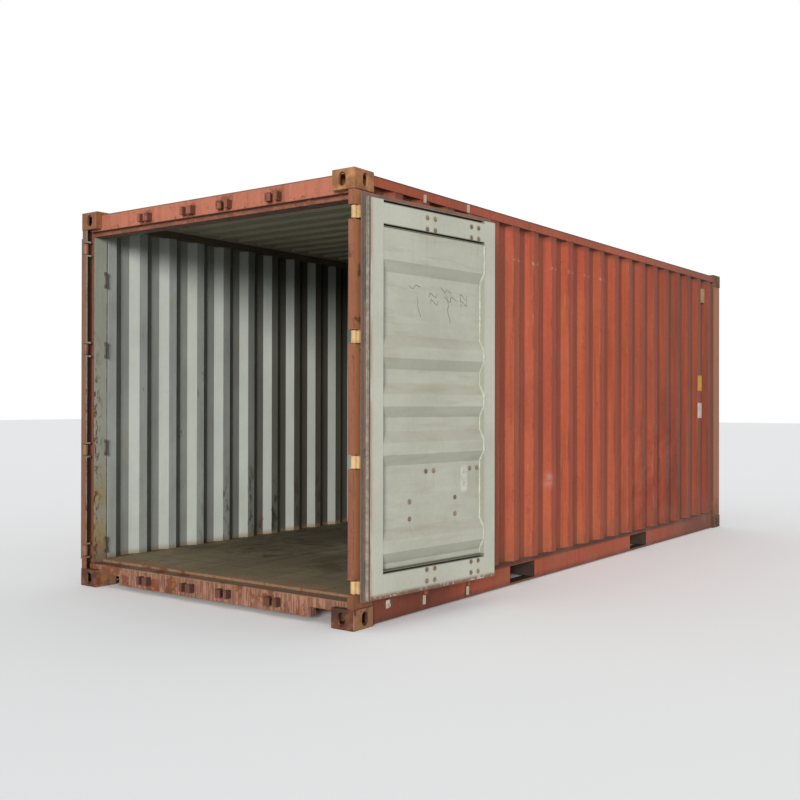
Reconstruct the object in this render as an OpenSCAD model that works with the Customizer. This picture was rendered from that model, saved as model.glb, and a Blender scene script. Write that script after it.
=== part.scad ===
// Twenty-foot steel dry freight container, both end doors folded back along the side walls.
// X runs across, Y along the length with the door end at negative Y, Z up.
// The origin is on the ground, under the middle of the container. Sizes are in millimetres.

/* [Overall] */
// Length over the corner castings
box_l = 6058; // [4500:1:7000]
// Width over the corner castings
box_w = 2438; // [2400:1:2500]
// Height over the corner castings
box_h = 2591; // [2400:1:2896]

/* [Corner castings] */
// Length of a casting along the container
cast_l = 178; // [170:1:190]
// Width of a casting across the container
cast_w = 162; // [155:1:170]
// Height of a casting
cast_h = 118; // [112:1:124]
// Wall of the end and side faces
cast_t = 16; // [12:1:20]
// Wall of the top or bottom face that takes the load
cast_face_t = 28; // [22:1:32]
// Radius of a casting's outer edges
cast_r = 8; // [3:1:10]
// Length of the top or bottom slot
slot_l = 124; // [110:1:128]
// Width of the top or bottom slot
slot_w = 63.5; // [50:0.5:66]
// Height of the oval holes in the end and side faces
oval_h = 79.5; // [60:0.5:84]
// Width of the oval holes in the end and side faces
oval_w = 51; // [40:0.5:60]

/* [Rear frame] */
// Distance of the rear post's outer flange behind the end plane
post_in_y = 4; // [2:1:8]
// Distance of posts and top rails inside the side plane
rail_in_x = 6; // [4:1:10]
// Width of a rear post across the container
post_w = 43; // [42:1:60]
// Width of the outer flange of the rear post
flange_w = 40; // [30:1:48]
// Thickness of the rolled outer section of the rear post
flange_t = 12; // [8:1:14]
// Depth of the rolled outer section of the rear post
outer_d = 113; // [108:1:125]
// Plate of the pressed posts
post_t = 6; // [4:0.5:8]
// Height of the header's underside below the casting tops
head_in_z = 161; // [156:1:180]
// Lower edge of the header's front face below the casting tops
nose_in_z = 131; // [126:1:140]
// Height of the header's top face below the casting tops
head_top_in_z = 19; // [16:1:30]
// Distance of header, sill and door stops behind the end plane
frame_in_y = 44; // [42:1:50]
// Distance of the inner front face of posts and header behind the end plane
post_face_in_y = 70; // [70:1:74]
// Plate of the header and the sill
frame_t = 4.5; // [3:0.5:6]
// Height of the sill's underside
sill_z0 = 31; // [20:1:40]
// Height of the sill's top face
sill_z1 = 152; // [145:1:158]
// Depth of the sill's top plate
sill_d = 100; // [90:1:110]
// Width of the notch in the sill beside each casting
notch_w = 200; // [150:1:240]
// Height of the notch in the sill
notch_h = 60; // [40:1:70]

/* [Side and front frame] */
// Size of the square top rails
top_rail = 60; // [50:1:70]
// Wall of the square top rails
top_rail_t = 3; // [3:0.5:5]
// Height of the top rail's upper face below the casting tops
top_rail_in_z = 18; // [14:1:24]
// Height of the bottom rail's underside
low_rail_z0 = 9; // [6:1:14]
// Wall of the bottom rail
low_rail_t = 4.5; // [3:0.5:6]
// Distance of the bottom rail's web inside the side plane
low_rail_in_x = 16; // [12:1:24]
// Width of the bottom rail's top flange
low_rail_top_w = 59; // [50:1:70]
// Width of the bottom rail's bottom flange
low_rail_low_w = 30; // [24:1:40]
// Width of a front post across the container
front_post_w = 118; // [100:1:130]

/* [Sheet walls and roof] */
// Thickness of wall, door and roof sheet
sheet_t = 2; // [1.5:0.5:3]
// Pitch of the side wall's corrugation
wall_pitch = 280; // [260:0.5:300]
// Outer flat of the side wall's corrugation
wall_flat = 72; // [50:1:90]
// Slope of the side wall's corrugation, along the wall
wall_slope = 68; // [50:1:80]
// Depth of the side wall's corrugation
wall_depth = 36; // [28:1:40]
// Distance of the left wall's first crest from the rear corner castings
wall_start_left = 192; // [170:1:215]
// Distance of the right wall's first crest from the rear corner castings
wall_start_right = 248; // [225:1:270]
// Pitch of the front wall's corrugation
front_pitch = 250; // [230:1:270]
// Outer flat of the front wall's corrugation
front_flat = 110; // [90:1:120]
// Slope of the front wall's corrugation
front_slope = 18; // [14:1:30]
// Depth of the front wall's corrugation
front_depth = 45; // [36:1:48]
// Pitch of the roof ribs
roof_pitch = 209; // [190:1:230]
// Top flat of a roof rib
roof_flat = 91; // [70:1:110]
// Slope of a roof rib
roof_slope = 14; // [10:1:24]
// Height of a roof rib
roof_depth = 20; // [14:1:22]
// Distance of the rib tops below the casting tops
roof_in_z = 6; // [4:1:10]
// Flat margin between rib ends and the top rails
roof_margin = 45; // [30:1:80]

/* [Floor and base] */
// Height of the floor's upper face
floor_z = 170; // [166:1:178]
// Thickness of the floor boards
floor_t = 28; // [24:1:30]
// Height of a cross member
cross_h = 122; // [110:1:126]
// Flange of a cross member
cross_w = 45; // [35:1:50]
// Plate of a cross member
cross_t = 4; // [3:0.5:5]
// Distance between cross members
cross_gap = 364; // [300:1:400]
// Distance of the first cross member from the rear corner castings
cross_first = 100; // [90:1:140]
// Distance of the last cross member from the front corner castings
cross_last = 140; // [100:1:180]
// Distance between the middles of the fork pockets
pocket_gap = 2050; // [2000:1:2100]
// Distance of the pair of fork pockets from the middle, towards the front
pocket_shift = -67; // [-100:1:100]
// Clear width of a fork pocket
pocket_w = 360; // [340:1:380]
// Thickness of the pocket's top plate and straps
pocket_t = 4; // [3:1:6]
// Length of a pocket's bottom strap across the container
strap_l = 90; // [60:1:240]

/* [Lashing bars and ventilators] */
// Height of the lowest lashing bar's middle
lash_z0 = 269; // [240:1:300]
// Distance between the three lower lashing bars
lash_gap = 687; // [600:1:720]
// Distance of the top lashing bar's middle below the casting tops
lash_top_in = 453; // [400:1:500]
// Distance of a ventilator's foot below the top rail
vent_in_z = 230; // [160:1:400]
// Height of a ventilator
vent_h = 140; // [100:1:150]

/* [Doors] */
// Angle that each door is opened from closed
door_open = 263.5; // [90:0.5:265]
// Thickness of a door leaf
leaf_t = 50; // [44:1:54]
// Distance of the leaf's outer face behind the end plane
leaf_in_y = 60; // [56:1:62]
// Gap between the leaf and the posts
leaf_gap_side = 11; // [10.5:0.5:16]
// Gap between the leaf and the header
leaf_gap_z = 8; // [8:1:12]
// Gap between the leaf and the sill
leaf_gap_low = 22; // [22:1:28]
// Gap between the two leaves
leaf_gap_mid = 40; // [30:1:50]
// Width of the leaf's upright tubes
stile_w = 108; // [90:1:120]
// Height of the leaf's top and bottom channels
rail_h = 150; // [120:1:160]
// Wall of the leaf's frame
leaf_wall = 3; // [2.5:0.5:5]
// Height of the slots along the leaf's top and bottom channels
rail_slot = 14; // [8:1:20]
// Distance of the lowest rib's middle from the leaf's lower edge
rib_low_in = 281; // [270:1:300]
// Distance of the uppermost rib's middle from the leaf's upper edge
rib_top_in = 299; // [290:1:320]
// Inner flat of a rib
rib_flat = 70; // [50:1:90]
// Slope of a rib
rib_slope = 64; // [40:1:70]
// Depth of a rib
rib_depth = 34; // [20:1:36]
// Thickness of the gasket's outer lip
lip_t = 5; // [3:0.5:5]
// Reach of the gasket's outer lip beyond the leaf at the posts
lip_side = 24; // [16:0.5:24]
// Reach of the gasket's outer lip beyond the leaf at the middle
lip_mid = 14; // [8:0.5:15]
// Clearance of the gasket's outer lip to the header and the sill
lip_clear = 5; // [5:0.5:8]
// Width of the gasket's inner bead, through the leaf
bead_d = 21; // [16:1:24]
// Reach of the inner bead beyond the leaf at the posts and the middle
bead_side = 6; // [4:0.5:6]
// Reach of the inner bead beyond the leaf at the header and sill
bead_z = 3; // [2.5:0.5:3]

/* [Hinges] */
// Distance of the hinge pin inside the side plane
pin_in_x = 20; // [19:0.5:22]
// Distance of the hinge pin behind the end plane
pin_in_y = 24; // [22:0.5:26]
// Radius of the hinge pin
pin_r = 9; // [6:0.5:10]
// Outer radius of the hinge knuckle
knuckle_r = 17; // [15:0.5:17]
// Height of a hinge knuckle
knuckle_h = 70; // [50:1:80]
// Height of the lowest hinge
hinge_z0 = 243; // [200:1:280]
// Distance of the uppermost hinge below the casting tops
hinge_top_in = 248; // [220:1:320]
// Length of a hinge blade on the leaf
blade_l = 150; // [100:1:220]
// Thickness of a hinge blade
blade_t = 10; // [8:0.5:10]
// Clearance between a pin and its bore
pin_clear = 0.4; // [0.2:0.1:0.8]

/* [Locking gear] */
// Distance of the inner locking bars from the middle
bar_x_in = 164; // [150:1:175]
// Distance of the outer locking bars from the middle
bar_x_out = 580; // [560:1:600]
// Distance of the bar axis behind the end plane
bar_in_y = 19; // [19:0.5:20]
// Radius of a locking bar
bar_r = 17; // [13:0.5:17]
// Wall of a locking bar
bar_t = 3; // [2:0.5:4]
// Radius of the cam at each end of a bar
cam_r = 19; // [15:0.5:20]
// Height of a cam
cam_h = 62; // [62:1:76]
// Distance of the sill keepers' middle below the sill's top face
keeper_down = 60; // [52:1:66]
// Distance of the header keepers' middle above the lower edge of the header's front face
keeper_up = 40; // [34:1:56]
// Height of a keeper
keeper_h = 52; // [40:1:52]
// Width of a keeper
keeper_w = 100; // [90:1:108]
// Clearance between a cam and its keeper
keeper_clear = 6; // [5:0.5:7]
// Distance of a bar bracket's bolts beside the bar axis
bracket_off = 60; // [40:1:66]
// Distance of the lower bar brackets from the leaf's lower edge
bracket_low_in = 82; // [76:1:100]
// Height of the middle bar brackets
bracket_mid_z = 867; // [840:1:900]
// Distance of the upper bar brackets from the leaf's upper edge
bracket_top_in = 87; // [76:1:100]
// Height of the handles' pivots
handle_z = 645; // [600:1:700]
// Distance of a handle's pivot from the bar axis
handle_off = 30; // [30:0.5:32]
// Distance of a handle's middle plane from the bar axis, towards the leaf when locked
handle_in_y = 10; // [9:0.5:12]
// Length of a handle
handle_l = 320; // [280:1:340]
// Width of a handle
handle_w = 14; // [12:0.5:16]
// Thickness of a handle
handle_t = 10; // [8:0.5:12]
// Distance of the handle catch from the bar axis
catch_x = 240; // [220:1:250]
// Width of a handle catch
catch_w = 40; // [30:1:50]

/* [Hidden] */
$fn = 48;

eps = 1;
x_side = box_w / 2;
y_rear = -box_l / 2;
y_front = box_l / 2;
cast_x = x_side - cast_w;
cast_y = y_front - cast_l;

frame_y = y_rear + frame_in_y;
post_face_y = y_rear + post_face_in_y;
post_x = x_side - rail_in_x;
open_x = post_x - post_w;
head_z = box_h - head_in_z;
nose_z = box_h - nose_in_z;
head_top_z = box_h - head_top_in_z;
post_y = y_rear + post_in_y;
post_back_y = -cast_y;
pin_x = x_side - pin_in_x;
pin_y = y_rear + pin_in_y;
leaf_y = y_rear + leaf_in_y;
panel_in_y = leaf_t - 4 - rib_depth - sheet_t;
leaf_x0 = leaf_gap_mid / 2;
leaf_x1 = open_x - leaf_gap_side;
leaf_z0 = sill_z1 + leaf_gap_low;
leaf_z1 = head_z - leaf_gap_z;
bar_y = y_rear + bar_in_y;
hinge_gap = (box_h - hinge_top_in - hinge_z0) / 3;
hinge_zs = [for (i = [0:3]) hinge_z0 + i * hinge_gap];
keeper_z_low = sill_z1 - keeper_down;
keeper_z_top = nose_z + keeper_up;
lug_t = 12;
pocket_half = knuckle_h / 2 + 6;

rail_z1 = box_h - top_rail_in_z;
rail_z0 = rail_z1 - top_rail;
low_rail_x = x_side - low_rail_in_x;
low_rail_z1 = floor_z;
wall_x = post_x + 0.5;
cross_z1 = floor_z - floor_t;
cross_z0 = cross_z1 - cross_h;
pocket_ys = [pocket_shift - pocket_gap / 2, pocket_shift + pocket_gap / 2];
roof_z = box_h - roof_in_z - roof_depth;
front_y = y_front - 5;
front_rail_d = 60;

bracket_zs = [leaf_z0 + bracket_low_in, bracket_mid_z, leaf_z1 - bracket_top_in];
bar_xs = [bar_x_in, bar_x_out];

cross_n = round((2 * cast_y - cross_first - cross_last) / cross_gap);
cross_step = (2 * cast_y - cross_first - cross_last) / cross_n;
cross_ys = [for (k = [0:cross_n]) -cast_y + cross_first + k * cross_step];
cross_clear = pocket_w / 2 + 2 * cross_w;
lash_zs = [lash_z0, lash_z0 + lash_gap, lash_z0 + 2 * lash_gap, box_h - lash_top_in];
lash_r = 6;

// Ribs stand out towards the cargo; the top one runs on into the top channel
rib_steps = [0, 2, 3, 4];
rib_z0 = leaf_z0 + rib_low_in;
rib_top_z = leaf_z1 - rib_top_in;
rib_pitch = (rib_top_z - rib_z0) / 6;

red = [0.60, 0.27, 0.19];
rusty = [0.62, 0.40, 0.22];
grey = [0.68, 0.69, 0.63];
zinc = [0.62, 0.62, 0.60];

// Places a right-hand piece at the left as well
module both_sides() {
    children();
    mirror([1, 0, 0]) children();
}

// Oval hole along Z
module oval(w, h, depth) {
    translate([0, (h - w) / 2, 0]) cylinder(d = w, h = depth);
    translate([0, -(h - w) / 2, 0]) cylinder(d = w, h = depth);
    translate([-w / 2, -(h - w) / 2, 0]) cube([w, h - w, depth]);
}

// Rectangle from the origin with the corner at the origin rounded
module soft_corner(w, h) {
    translate([cast_r, cast_r]) circle(r = cast_r);
    translate([cast_r, 0]) square([w - cast_r, h]);
    translate([0, cast_r]) square([w, h - cast_r]);
}

// Corner casting with its outer corner at the origin, reaching to -X, +Y and -Z
module casting() {
    aim_x = -89;
    aim_y = 101.5;
    difference() {
        intersection() {
            translate([0, 0, -cast_h]) linear_extrude(cast_h)
                mirror([1, 0]) soft_corner(cast_w, cast_l);
            translate([0, cast_l, 0]) rotate([90, 0, 0]) linear_extrude(cast_l)
                mirror([1, 0]) mirror([0, 1]) soft_corner(cast_w, cast_h);
            rotate([90, 0, -90]) linear_extrude(cast_w)
                mirror([1, 0]) mirror([0, 1]) soft_corner(cast_l, cast_h);
        }
        translate([-cast_w + cast_t, cast_t, -cast_h + cast_t])
            cube([cast_w - 2 * cast_t, cast_l - 2 * cast_t, cast_h - cast_t - cast_face_t]);
        translate([aim_x, aim_y, -cast_face_t - eps]) oval(slot_w, slot_l, cast_face_t + 2 * eps);
        translate([-cast_t - eps, aim_y, -cast_h / 2]) rotate([0, 90, 0]) rotate([0, 0, 90])
            oval(oval_w, oval_h, cast_t + 2 * eps);
        translate([aim_x, cast_t + eps, -cast_h / 2]) rotate([90, 0, 0])
            oval(oval_w, oval_h, cast_t + 2 * eps);
    }
}

module castings_level() {
    both_sides() {
        translate([x_side, y_rear, 0]) casting();
        mirror([0, 1, 0]) translate([x_side, y_rear, 0]) casting();
    }
}

module top_corner_castings() {
    color(rusty) translate([0, 0, box_h]) castings_level();
}

module bottom_corner_castings() {
    color(rusty) mirror([0, 0, 1]) castings_level();
}

// Section of the rear post: rolled outer flange and pressed inner part
module rear_post_section() {
    union() {
        translate([post_x - flange_w, post_y]) square([flange_w, flange_t]);
        translate([post_x - flange_t, post_y]) square([flange_t, outer_d]);
        translate([post_x - flange_w, post_y + outer_d - flange_t]) square([flange_w, flange_t]);
        translate([open_x, post_face_y]) square([post_x - flange_t / 2 - open_x, post_t]);
        translate([open_x, post_face_y]) square([post_t, post_back_y - post_face_y]);
        translate([open_x, post_back_y - post_t]) square([post_x - open_x, post_t]);
        translate([post_x - post_t, post_y + outer_d - eps])
            square([post_t, post_back_y - post_y - outer_d + eps]);
    }
}

// Lugs that hold a hinge pin, and the recess between them that the knuckle turns in
module hinge_lugs() {
    z_half = pocket_half + lug_t;
    lug_d = pin_in_y - post_in_y + knuckle_r + 5;
    translate([post_x - flange_w, post_y, -z_half]) cube([flange_w, lug_d, 2 * z_half]);
}

module hinge_recess() {
    recess_d = pin_in_y - post_in_y + knuckle_r + 5;
    translate([post_x - flange_w - eps, post_y - eps, -pocket_half])
        cube([flange_w + box_w, recess_d + 2 * eps, 2 * pocket_half]);
}

module rear_post() {
    z_half = pocket_half + lug_t;
    difference() {
        union() {
            translate([0, 0, cast_h]) linear_extrude(box_h - 2 * cast_h) rear_post_section();
            for (z = hinge_zs) translate([0, 0, z]) hinge_lugs();
        }
        for (z = hinge_zs) translate([0, 0, z]) hinge_recess();
    }
    for (z = hinge_zs) translate([pin_x, pin_y, z - z_half]) cylinder(r = pin_r, h = 2 * z_half);
}

module right_rear_post() {
    color(red) rear_post();
}

module left_rear_post() {
    color(red) mirror([1, 0, 0]) rear_post();
}

// Pressed front post, a closed five-sided tube
module front_post_section() {
    x0 = post_x - front_post_w;
    y0 = cast_y;
    y1 = front_y;
    side_w = 70;
    lip = 55;
    k = post_t * 0.5;
    difference() {
        polygon([[post_x, y0], [post_x, y1], [x0, y1], [x0, y1 - lip], [post_x - side_w, y0]]);
        polygon([[post_x - post_t, y0 + post_t], [post_x - post_t, y1 - post_t],
            [x0 + post_t, y1 - post_t], [x0 + post_t, y1 - lip + k],
            [post_x - side_w + k, y0 + post_t]]);
    }
}

module front_post() {
    translate([0, 0, cast_h]) linear_extrude(box_h - 2 * cast_h) front_post_section();
}

module right_front_post() {
    color(red) front_post();
}

module left_front_post() {
    color(red) mirror([1, 0, 0]) front_post();
}

// Closed box along X from two corners in Y and Z
module box_tube(half_x, y0, y1, z0, z1, t) {
    difference() {
        translate([-half_x, y0, z0]) cube([2 * half_x, y1 - y0, z1 - z0]);
        translate([-half_x - eps, y0 + t, z0 + t])
            cube([2 * half_x + 2 * eps, y1 - y0 - 2 * t, z1 - z0 - 2 * t]);
    }
}

// Outline of the header: front face, step for the door's gasket, underside and top
module header_outline(t) {
    face_y = post_face_y + t;
    polygon([[frame_y + t, nose_z + t], [frame_y + t, head_top_z - t], [-cast_y - t, head_top_z - t],
        [-cast_y - t, head_z + t], [face_y, head_z + t], [face_y, nose_z + t]]);
}

module door_header() {
    color(red) difference() {
        along_x(open_x) difference() {
            header_outline(0);
            header_outline(frame_t);
        }
        both_sides() translate([cast_x, y_rear, box_h - cast_h])
            cube([open_x, 2 * cast_l, cast_h]);
    }
}

// Section of the sill: front plate, top plate, floor step and bottom flange
module sill_section() {
    lip = 55;
    translate([frame_y, sill_z0]) square([frame_t, sill_z1 - sill_z0]);
    translate([frame_y, sill_z1 - frame_t]) square([sill_d, frame_t]);
    translate([frame_y + sill_d - frame_t, sill_z1 - frame_t])
        square([frame_t, floor_z - sill_z1 + frame_t]);
    translate([frame_y, sill_z0]) square([lip, frame_t]);
}

module along_x(half_x) {
    rotate([90, 0, 90]) translate([0, 0, -half_x]) linear_extrude(2 * half_x) children();
}

module door_sill() {
    notch_x = cast_x - notch_w;
    lip = 55;
    color(red) {
        difference() {
            along_x(open_x) sill_section();
            both_sides() {
                translate([cast_x, y_rear, -eps]) cube([cast_w, cast_l, cast_h + eps]);
                translate([notch_x, y_rear, -eps])
                    cube([notch_w + eps, cast_l, sill_z0 + notch_h + eps]);
            }
        }
        both_sides() translate([notch_x - frame_t, frame_y + frame_t / 2, sill_z0 + frame_t / 2])
            cube([frame_t, lip - frame_t / 2, sill_z1 - sill_z0 - frame_t]);
    }
}

// Keeper around the bar axis at the origin: two jaws, one with a finger in front of the cam
module keeper() {
    deep = bar_in_y - 2;
    back = frame_in_y - bar_in_y;
    jaw_x = cam_r + keeper_clear;
    jaw_w = keeper_w / 2 - jaw_x;
    linear_extrude(keeper_h, center = true) {
        translate([-keeper_w / 2, -deep]) square([jaw_w, deep + back]);
        translate([-keeper_w / 2, -deep])
            square([keeper_w / 2 - keeper_clear, deep - keeper_clear]);
        translate([jaw_x, -deep]) square([jaw_w, deep + back]);
    }
}

module cam_keepers() {
    color(rusty) both_sides() for (x = bar_xs) for (z = [keeper_z_low, keeper_z_top])
        translate([x, bar_y, z]) keeper();
}

// Square rail along Y
module top_rail_bar() {
    difference() {
        translate([post_x - top_rail, -cast_y, rail_z0]) cube([top_rail, 2 * cast_y, top_rail]);
        translate([post_x - top_rail + top_rail_t, -cast_y - eps, rail_z0 + top_rail_t])
            cube([top_rail - 2 * top_rail_t, 2 * cast_y + 2 * eps, top_rail - 2 * top_rail_t]);
    }
}

module right_top_rail() {
    color(red) top_rail_bar();
}

module left_top_rail() {
    color(red) mirror([1, 0, 0]) top_rail_bar();
}

module low_rail_section() {
    t = low_rail_t;
    translate([low_rail_x - t, low_rail_z0]) square([t, low_rail_z1 - low_rail_z0]);
    translate([wall_x - low_rail_top_w, low_rail_z1 - t]) square([low_rail_top_w, t]);
    translate([low_rail_x - low_rail_low_w, low_rail_z0]) square([low_rail_low_w, t]);
}

module low_rail() {
    difference() {
        translate([0, cast_y, 0]) rotate([90, 0, 0]) linear_extrude(2 * cast_y) low_rail_section();
        for (y = pocket_ys) translate([low_rail_x - low_rail_t - eps, y - pocket_w / 2, cross_z0])
            cube([low_rail_t + 2 * eps, pocket_w, cross_h - pocket_t]);
    }
}

module right_bottom_rail() {
    color(red) low_rail();
}

module left_bottom_rail() {
    color(red) mirror([1, 0, 0]) low_rail();
}

module front_top_rail() {
    y0 = front_y - front_rail_d;
    color(red) {
        box_tube(cast_x, y0, front_y, rail_z0 - 20, rail_z1, top_rail_t);
        translate([-cast_x, cast_y, roof_z - top_rail_t])
            cube([2 * cast_x, y0 - cast_y + eps, top_rail_t]);
    }
}

module front_bottom_rail() {
    t = low_rail_t;
    y0 = front_y - front_rail_d;
    color(red) difference() {
        along_x(post_x - front_post_w) {
            translate([front_y - t, 22]) square([t, low_rail_z1 - 22]);
            translate([y0, low_rail_z1 - t]) square([front_rail_d, t]);
            translate([y0, 22]) square([front_rail_d, t]);
        }
        both_sides() translate([cast_x, cast_y, -eps]) cube([cast_w, cast_l, cast_h + eps]);
    }
}

// Corrugated sheet: flats at 0 and -depth joined by slopes, crest middles at phase + k * pitch
function wave(pitch, flat, slope, depth, phase, n0, n1) = [
    for (k = [n0:n1]) each [
        [phase + k * pitch - flat / 2 - slope, -depth], [phase + k * pitch - flat / 2, 0],
        [phase + k * pitch + flat / 2, 0], [phase + k * pitch + flat / 2 + slope, -depth]]];

function turned(points) = [for (i = [len(points) - 1:-1:0]) points[i]];

module wave_sheet(points, t) {
    polygon(concat(points, [for (p = turned(points)) [p[0], p[1] - t]]));
}

function wall_steps(start) = floor((2 * cast_y - start) / wall_pitch);

// Corrugated side sheet, drawn for the right side
module side_wall(start) {
    points = wave(wall_pitch, wall_flat, wall_slope, wall_depth, start - cast_y, -1,
        wall_steps(start) + 1);
    intersection() {
        translate([wall_x, 0, low_rail_z1]) linear_extrude(rail_z0 - low_rail_z1) rotate(90)
            mirror([0, 1]) wave_sheet(points, sheet_t);
        translate([0, -cast_y, 0]) cube([box_w, 2 * cast_y, box_h]);
    }
}

module right_wall() {
    color(red) side_wall(wall_start_right);
}

module left_wall() {
    color(red) mirror([1, 0, 0]) side_wall(wall_start_left);
}

module front_wall() {
    half = post_x - front_post_w;
    n = ceil(half / front_pitch) + 1;
    color(red) intersection() {
        translate([0, front_y - 2, low_rail_z1]) linear_extrude(rail_z0 - 20 - low_rail_z1)
            wave_sheet(wave(front_pitch, front_flat, front_slope, front_depth, 0, -n, n), sheet_t);
        difference() {
            translate([-half, 0, 0]) cube([2 * half, y_front, box_h]);
            both_sides() translate([cast_x, cast_y, box_h - cast_h])
                cube([cast_w, cast_l, cast_h]);
        }
    }
}

// Solid under the roof's upper skin, ribs with sloped ends
module roof_block(half_x, y0, y1) {
    rib_n = floor((y1 - y0 - roof_margin) / roof_pitch);
    start = (y0 + y1 - (rib_n - 1) * roof_pitch) / 2;
    translate([-half_x, y0, roof_z - roof_depth]) cube([2 * half_x, y1 - y0, roof_depth]);
    intersection() {
        along_x(half_x) for (k = [0:rib_n - 1]) translate([start + k * roof_pitch, roof_z - eps])
            polygon([[-roof_flat / 2 - roof_slope, 0], [roof_flat / 2 + roof_slope, 0],
                [roof_flat / 2, roof_depth + eps], [-roof_flat / 2, roof_depth + eps]]);
        translate([0, y1, roof_z - 2 * eps]) rotate([90, 0, 0]) linear_extrude(y1 - y0)
            polygon([[-half_x + roof_margin, 0], [half_x - roof_margin, 0],
                [half_x - roof_margin - roof_depth, roof_depth + 3 * eps],
                [-half_x + roof_margin + roof_depth, roof_depth + 3 * eps]]);
    }
}

module roof() {
    half_x = post_x - top_rail;
    color(red) difference() {
        roof_block(half_x, -cast_y, cast_y);
        translate([0, 0, -sheet_t]) roof_block(half_x, -cast_y, cast_y);
    }
}

module floor_boards() {
    half_x = wall_x - low_rail_top_w;
    y0 = frame_y + sill_d;
    y1 = front_y - front_rail_d;
    color([0.38, 0.33, 0.28]) difference() {
        translate([-half_x, y0, cross_z1]) cube([2 * half_x, y1 - y0, floor_t]);
        both_sides() translate([post_x - front_post_w, cast_y, 0])
            cube([front_post_w, cast_l, box_h]);
    }
}

// C section with its web at Y = 0 and flanges towards +Y
module c_section() {
    square([cross_t, cross_h]);
    square([cross_w, cross_t]);
    translate([0, cross_h - cross_t]) square([cross_w, cross_t]);
}

module cross_members() {
    half_x = low_rail_x - low_rail_t;
    color(red) for (y = cross_ys)
        if (abs(y - pocket_ys[0]) > cross_clear && abs(y - pocket_ys[1]) > cross_clear)
            translate([0, 0, cross_z0]) along_x(half_x) translate([y, 0]) c_section();
}

module fork_pocket() {
    half_x = low_rail_x - low_rail_t;
    half_w = pocket_w / 2;
    translate([0, 0, cross_z0]) {
        along_x(half_x) {
            translate([half_w, 0]) c_section();
            mirror([1, 0]) translate([half_w, 0]) c_section();
            translate([-half_w - eps, cross_h - pocket_t])
                square([pocket_w + 2 * eps, pocket_t]);
        }
        both_sides() translate([half_x - strap_l, -half_w - cross_w, -pocket_t])
            cube([strap_l, pocket_w + 2 * cross_w, pocket_t]);
    }
}

module fork_pockets() {
    color(red) for (y = pocket_ys) translate([0, y, 0]) fork_pocket();
}

module lashing_bars() {
    rod_h = 110;
    foot = 24;
    x = open_x - 2 * lash_r;
    y = post_back_y - 18;
    color(grey) both_sides() for (z = lash_zs) translate([x, y, z]) {
        translate([0, 0, -rod_h / 2]) cylinder(r = lash_r, h = rod_h);
        for (s = [-1, 1]) translate([-lash_r, -lash_r, s * (rod_h - foot) / 2 - foot / 2])
            cube([open_x - x + lash_r, 2 * lash_r, foot]);
    }
}

// Louvred cover in the last trough of a side wall
module vent_cover(start) {
    vent_w = 60;
    vent_d = 26;
    y = -cast_y + start + (wall_steps(start) - 0.5) * wall_pitch;
    translate([0, y, rail_z0 - vent_in_z]) difference() {
        translate([wall_x - wall_depth, -vent_w / 2, 0]) cube([vent_d, vent_w, vent_h]);
        translate([wall_x - wall_depth - eps, -vent_w / 2 + 4, -eps])
            cube([vent_d - 4 + eps, vent_w - 8, vent_h - 4]);
    }
}

module ventilators() {
    color(red) {
        vent_cover(wall_start_right);
        mirror([1, 0, 0]) vent_cover(wall_start_left);
    }
}

// Turns a closed right door's piece to where the door stands open
module opened() {
    translate([pin_x, pin_y, 0]) rotate(door_open) translate([-pin_x, -pin_y, 0]) children();
}

// Turns a locked bar's piece half a turn, to where its cams leave the keepers
module unlocked(x) {
    translate([x, bar_y, 0]) rotate(180) translate([-x, -bar_y, 0]) children();
}

// Leaf's top or bottom channel: closed tube, outer plate and the shelf that the panel meets
module leaf_rail(low_slot, top_slot, shelf_z) {
    rail_w = leaf_x1 - leaf_x0 - 2 * stile_w;
    t = leaf_wall;
    tube_h = rail_h - low_slot - top_slot;
    translate([leaf_x0 + stile_w, leaf_y, 0]) {
        cube([rail_w, t, rail_h]);
        translate([0, 0, shelf_z]) cube([rail_w, leaf_t, t]);
        translate([0, 0, low_slot]) difference() {
            cube([rail_w, leaf_t, tube_h]);
            translate([-eps, t, t]) cube([rail_w + 2 * eps, leaf_t - 2 * t, tube_h - 2 * t]);
        }
    }
}

module door_frame() {
    t = leaf_wall;
    for (x = [leaf_x0, leaf_x1 - stile_w]) difference() {
        translate([x, leaf_y, leaf_z0]) cube([stile_w, leaf_t, leaf_z1 - leaf_z0]);
        translate([x + t, leaf_y + t, leaf_z0 - eps])
            cube([stile_w - 2 * t, leaf_t - 2 * t, leaf_z1 - leaf_z0 + 2 * eps]);
    }
    translate([0, 0, leaf_z0]) leaf_rail(0, rail_slot, rail_h - t);
    translate([0, 0, leaf_z1 - rail_h]) leaf_rail(rail_slot, rail_slot, 0);
}

function rib_points(z) = [[z - rib_flat / 2 - rib_slope, 0], [z - rib_flat / 2, rib_depth],
    [z + rib_flat / 2, rib_depth], [z + rib_flat / 2 + rib_slope, 0]];

module door_panel() {
    z0 = leaf_z0 + rail_h;
    z1 = leaf_z1 - rail_h;
    back = leaf_y + leaf_t - 4 - rib_depth;
    points = concat([[z0, 0]], [for (k = rib_steps) each rib_points(rib_z0 + k * rib_pitch)],
        [[rib_top_z - rib_flat / 2 - rib_slope, 0], [rib_top_z - rib_flat / 2, rib_depth],
        [z1, rib_depth]]);
    translate([leaf_x0 + stile_w, back, 0]) rotate([0, -90, 0])
        mirror([0, 0, 1]) linear_extrude(leaf_x1 - leaf_x0 - 2 * stile_w)
            wave_sheet(points, sheet_t);
}

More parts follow.
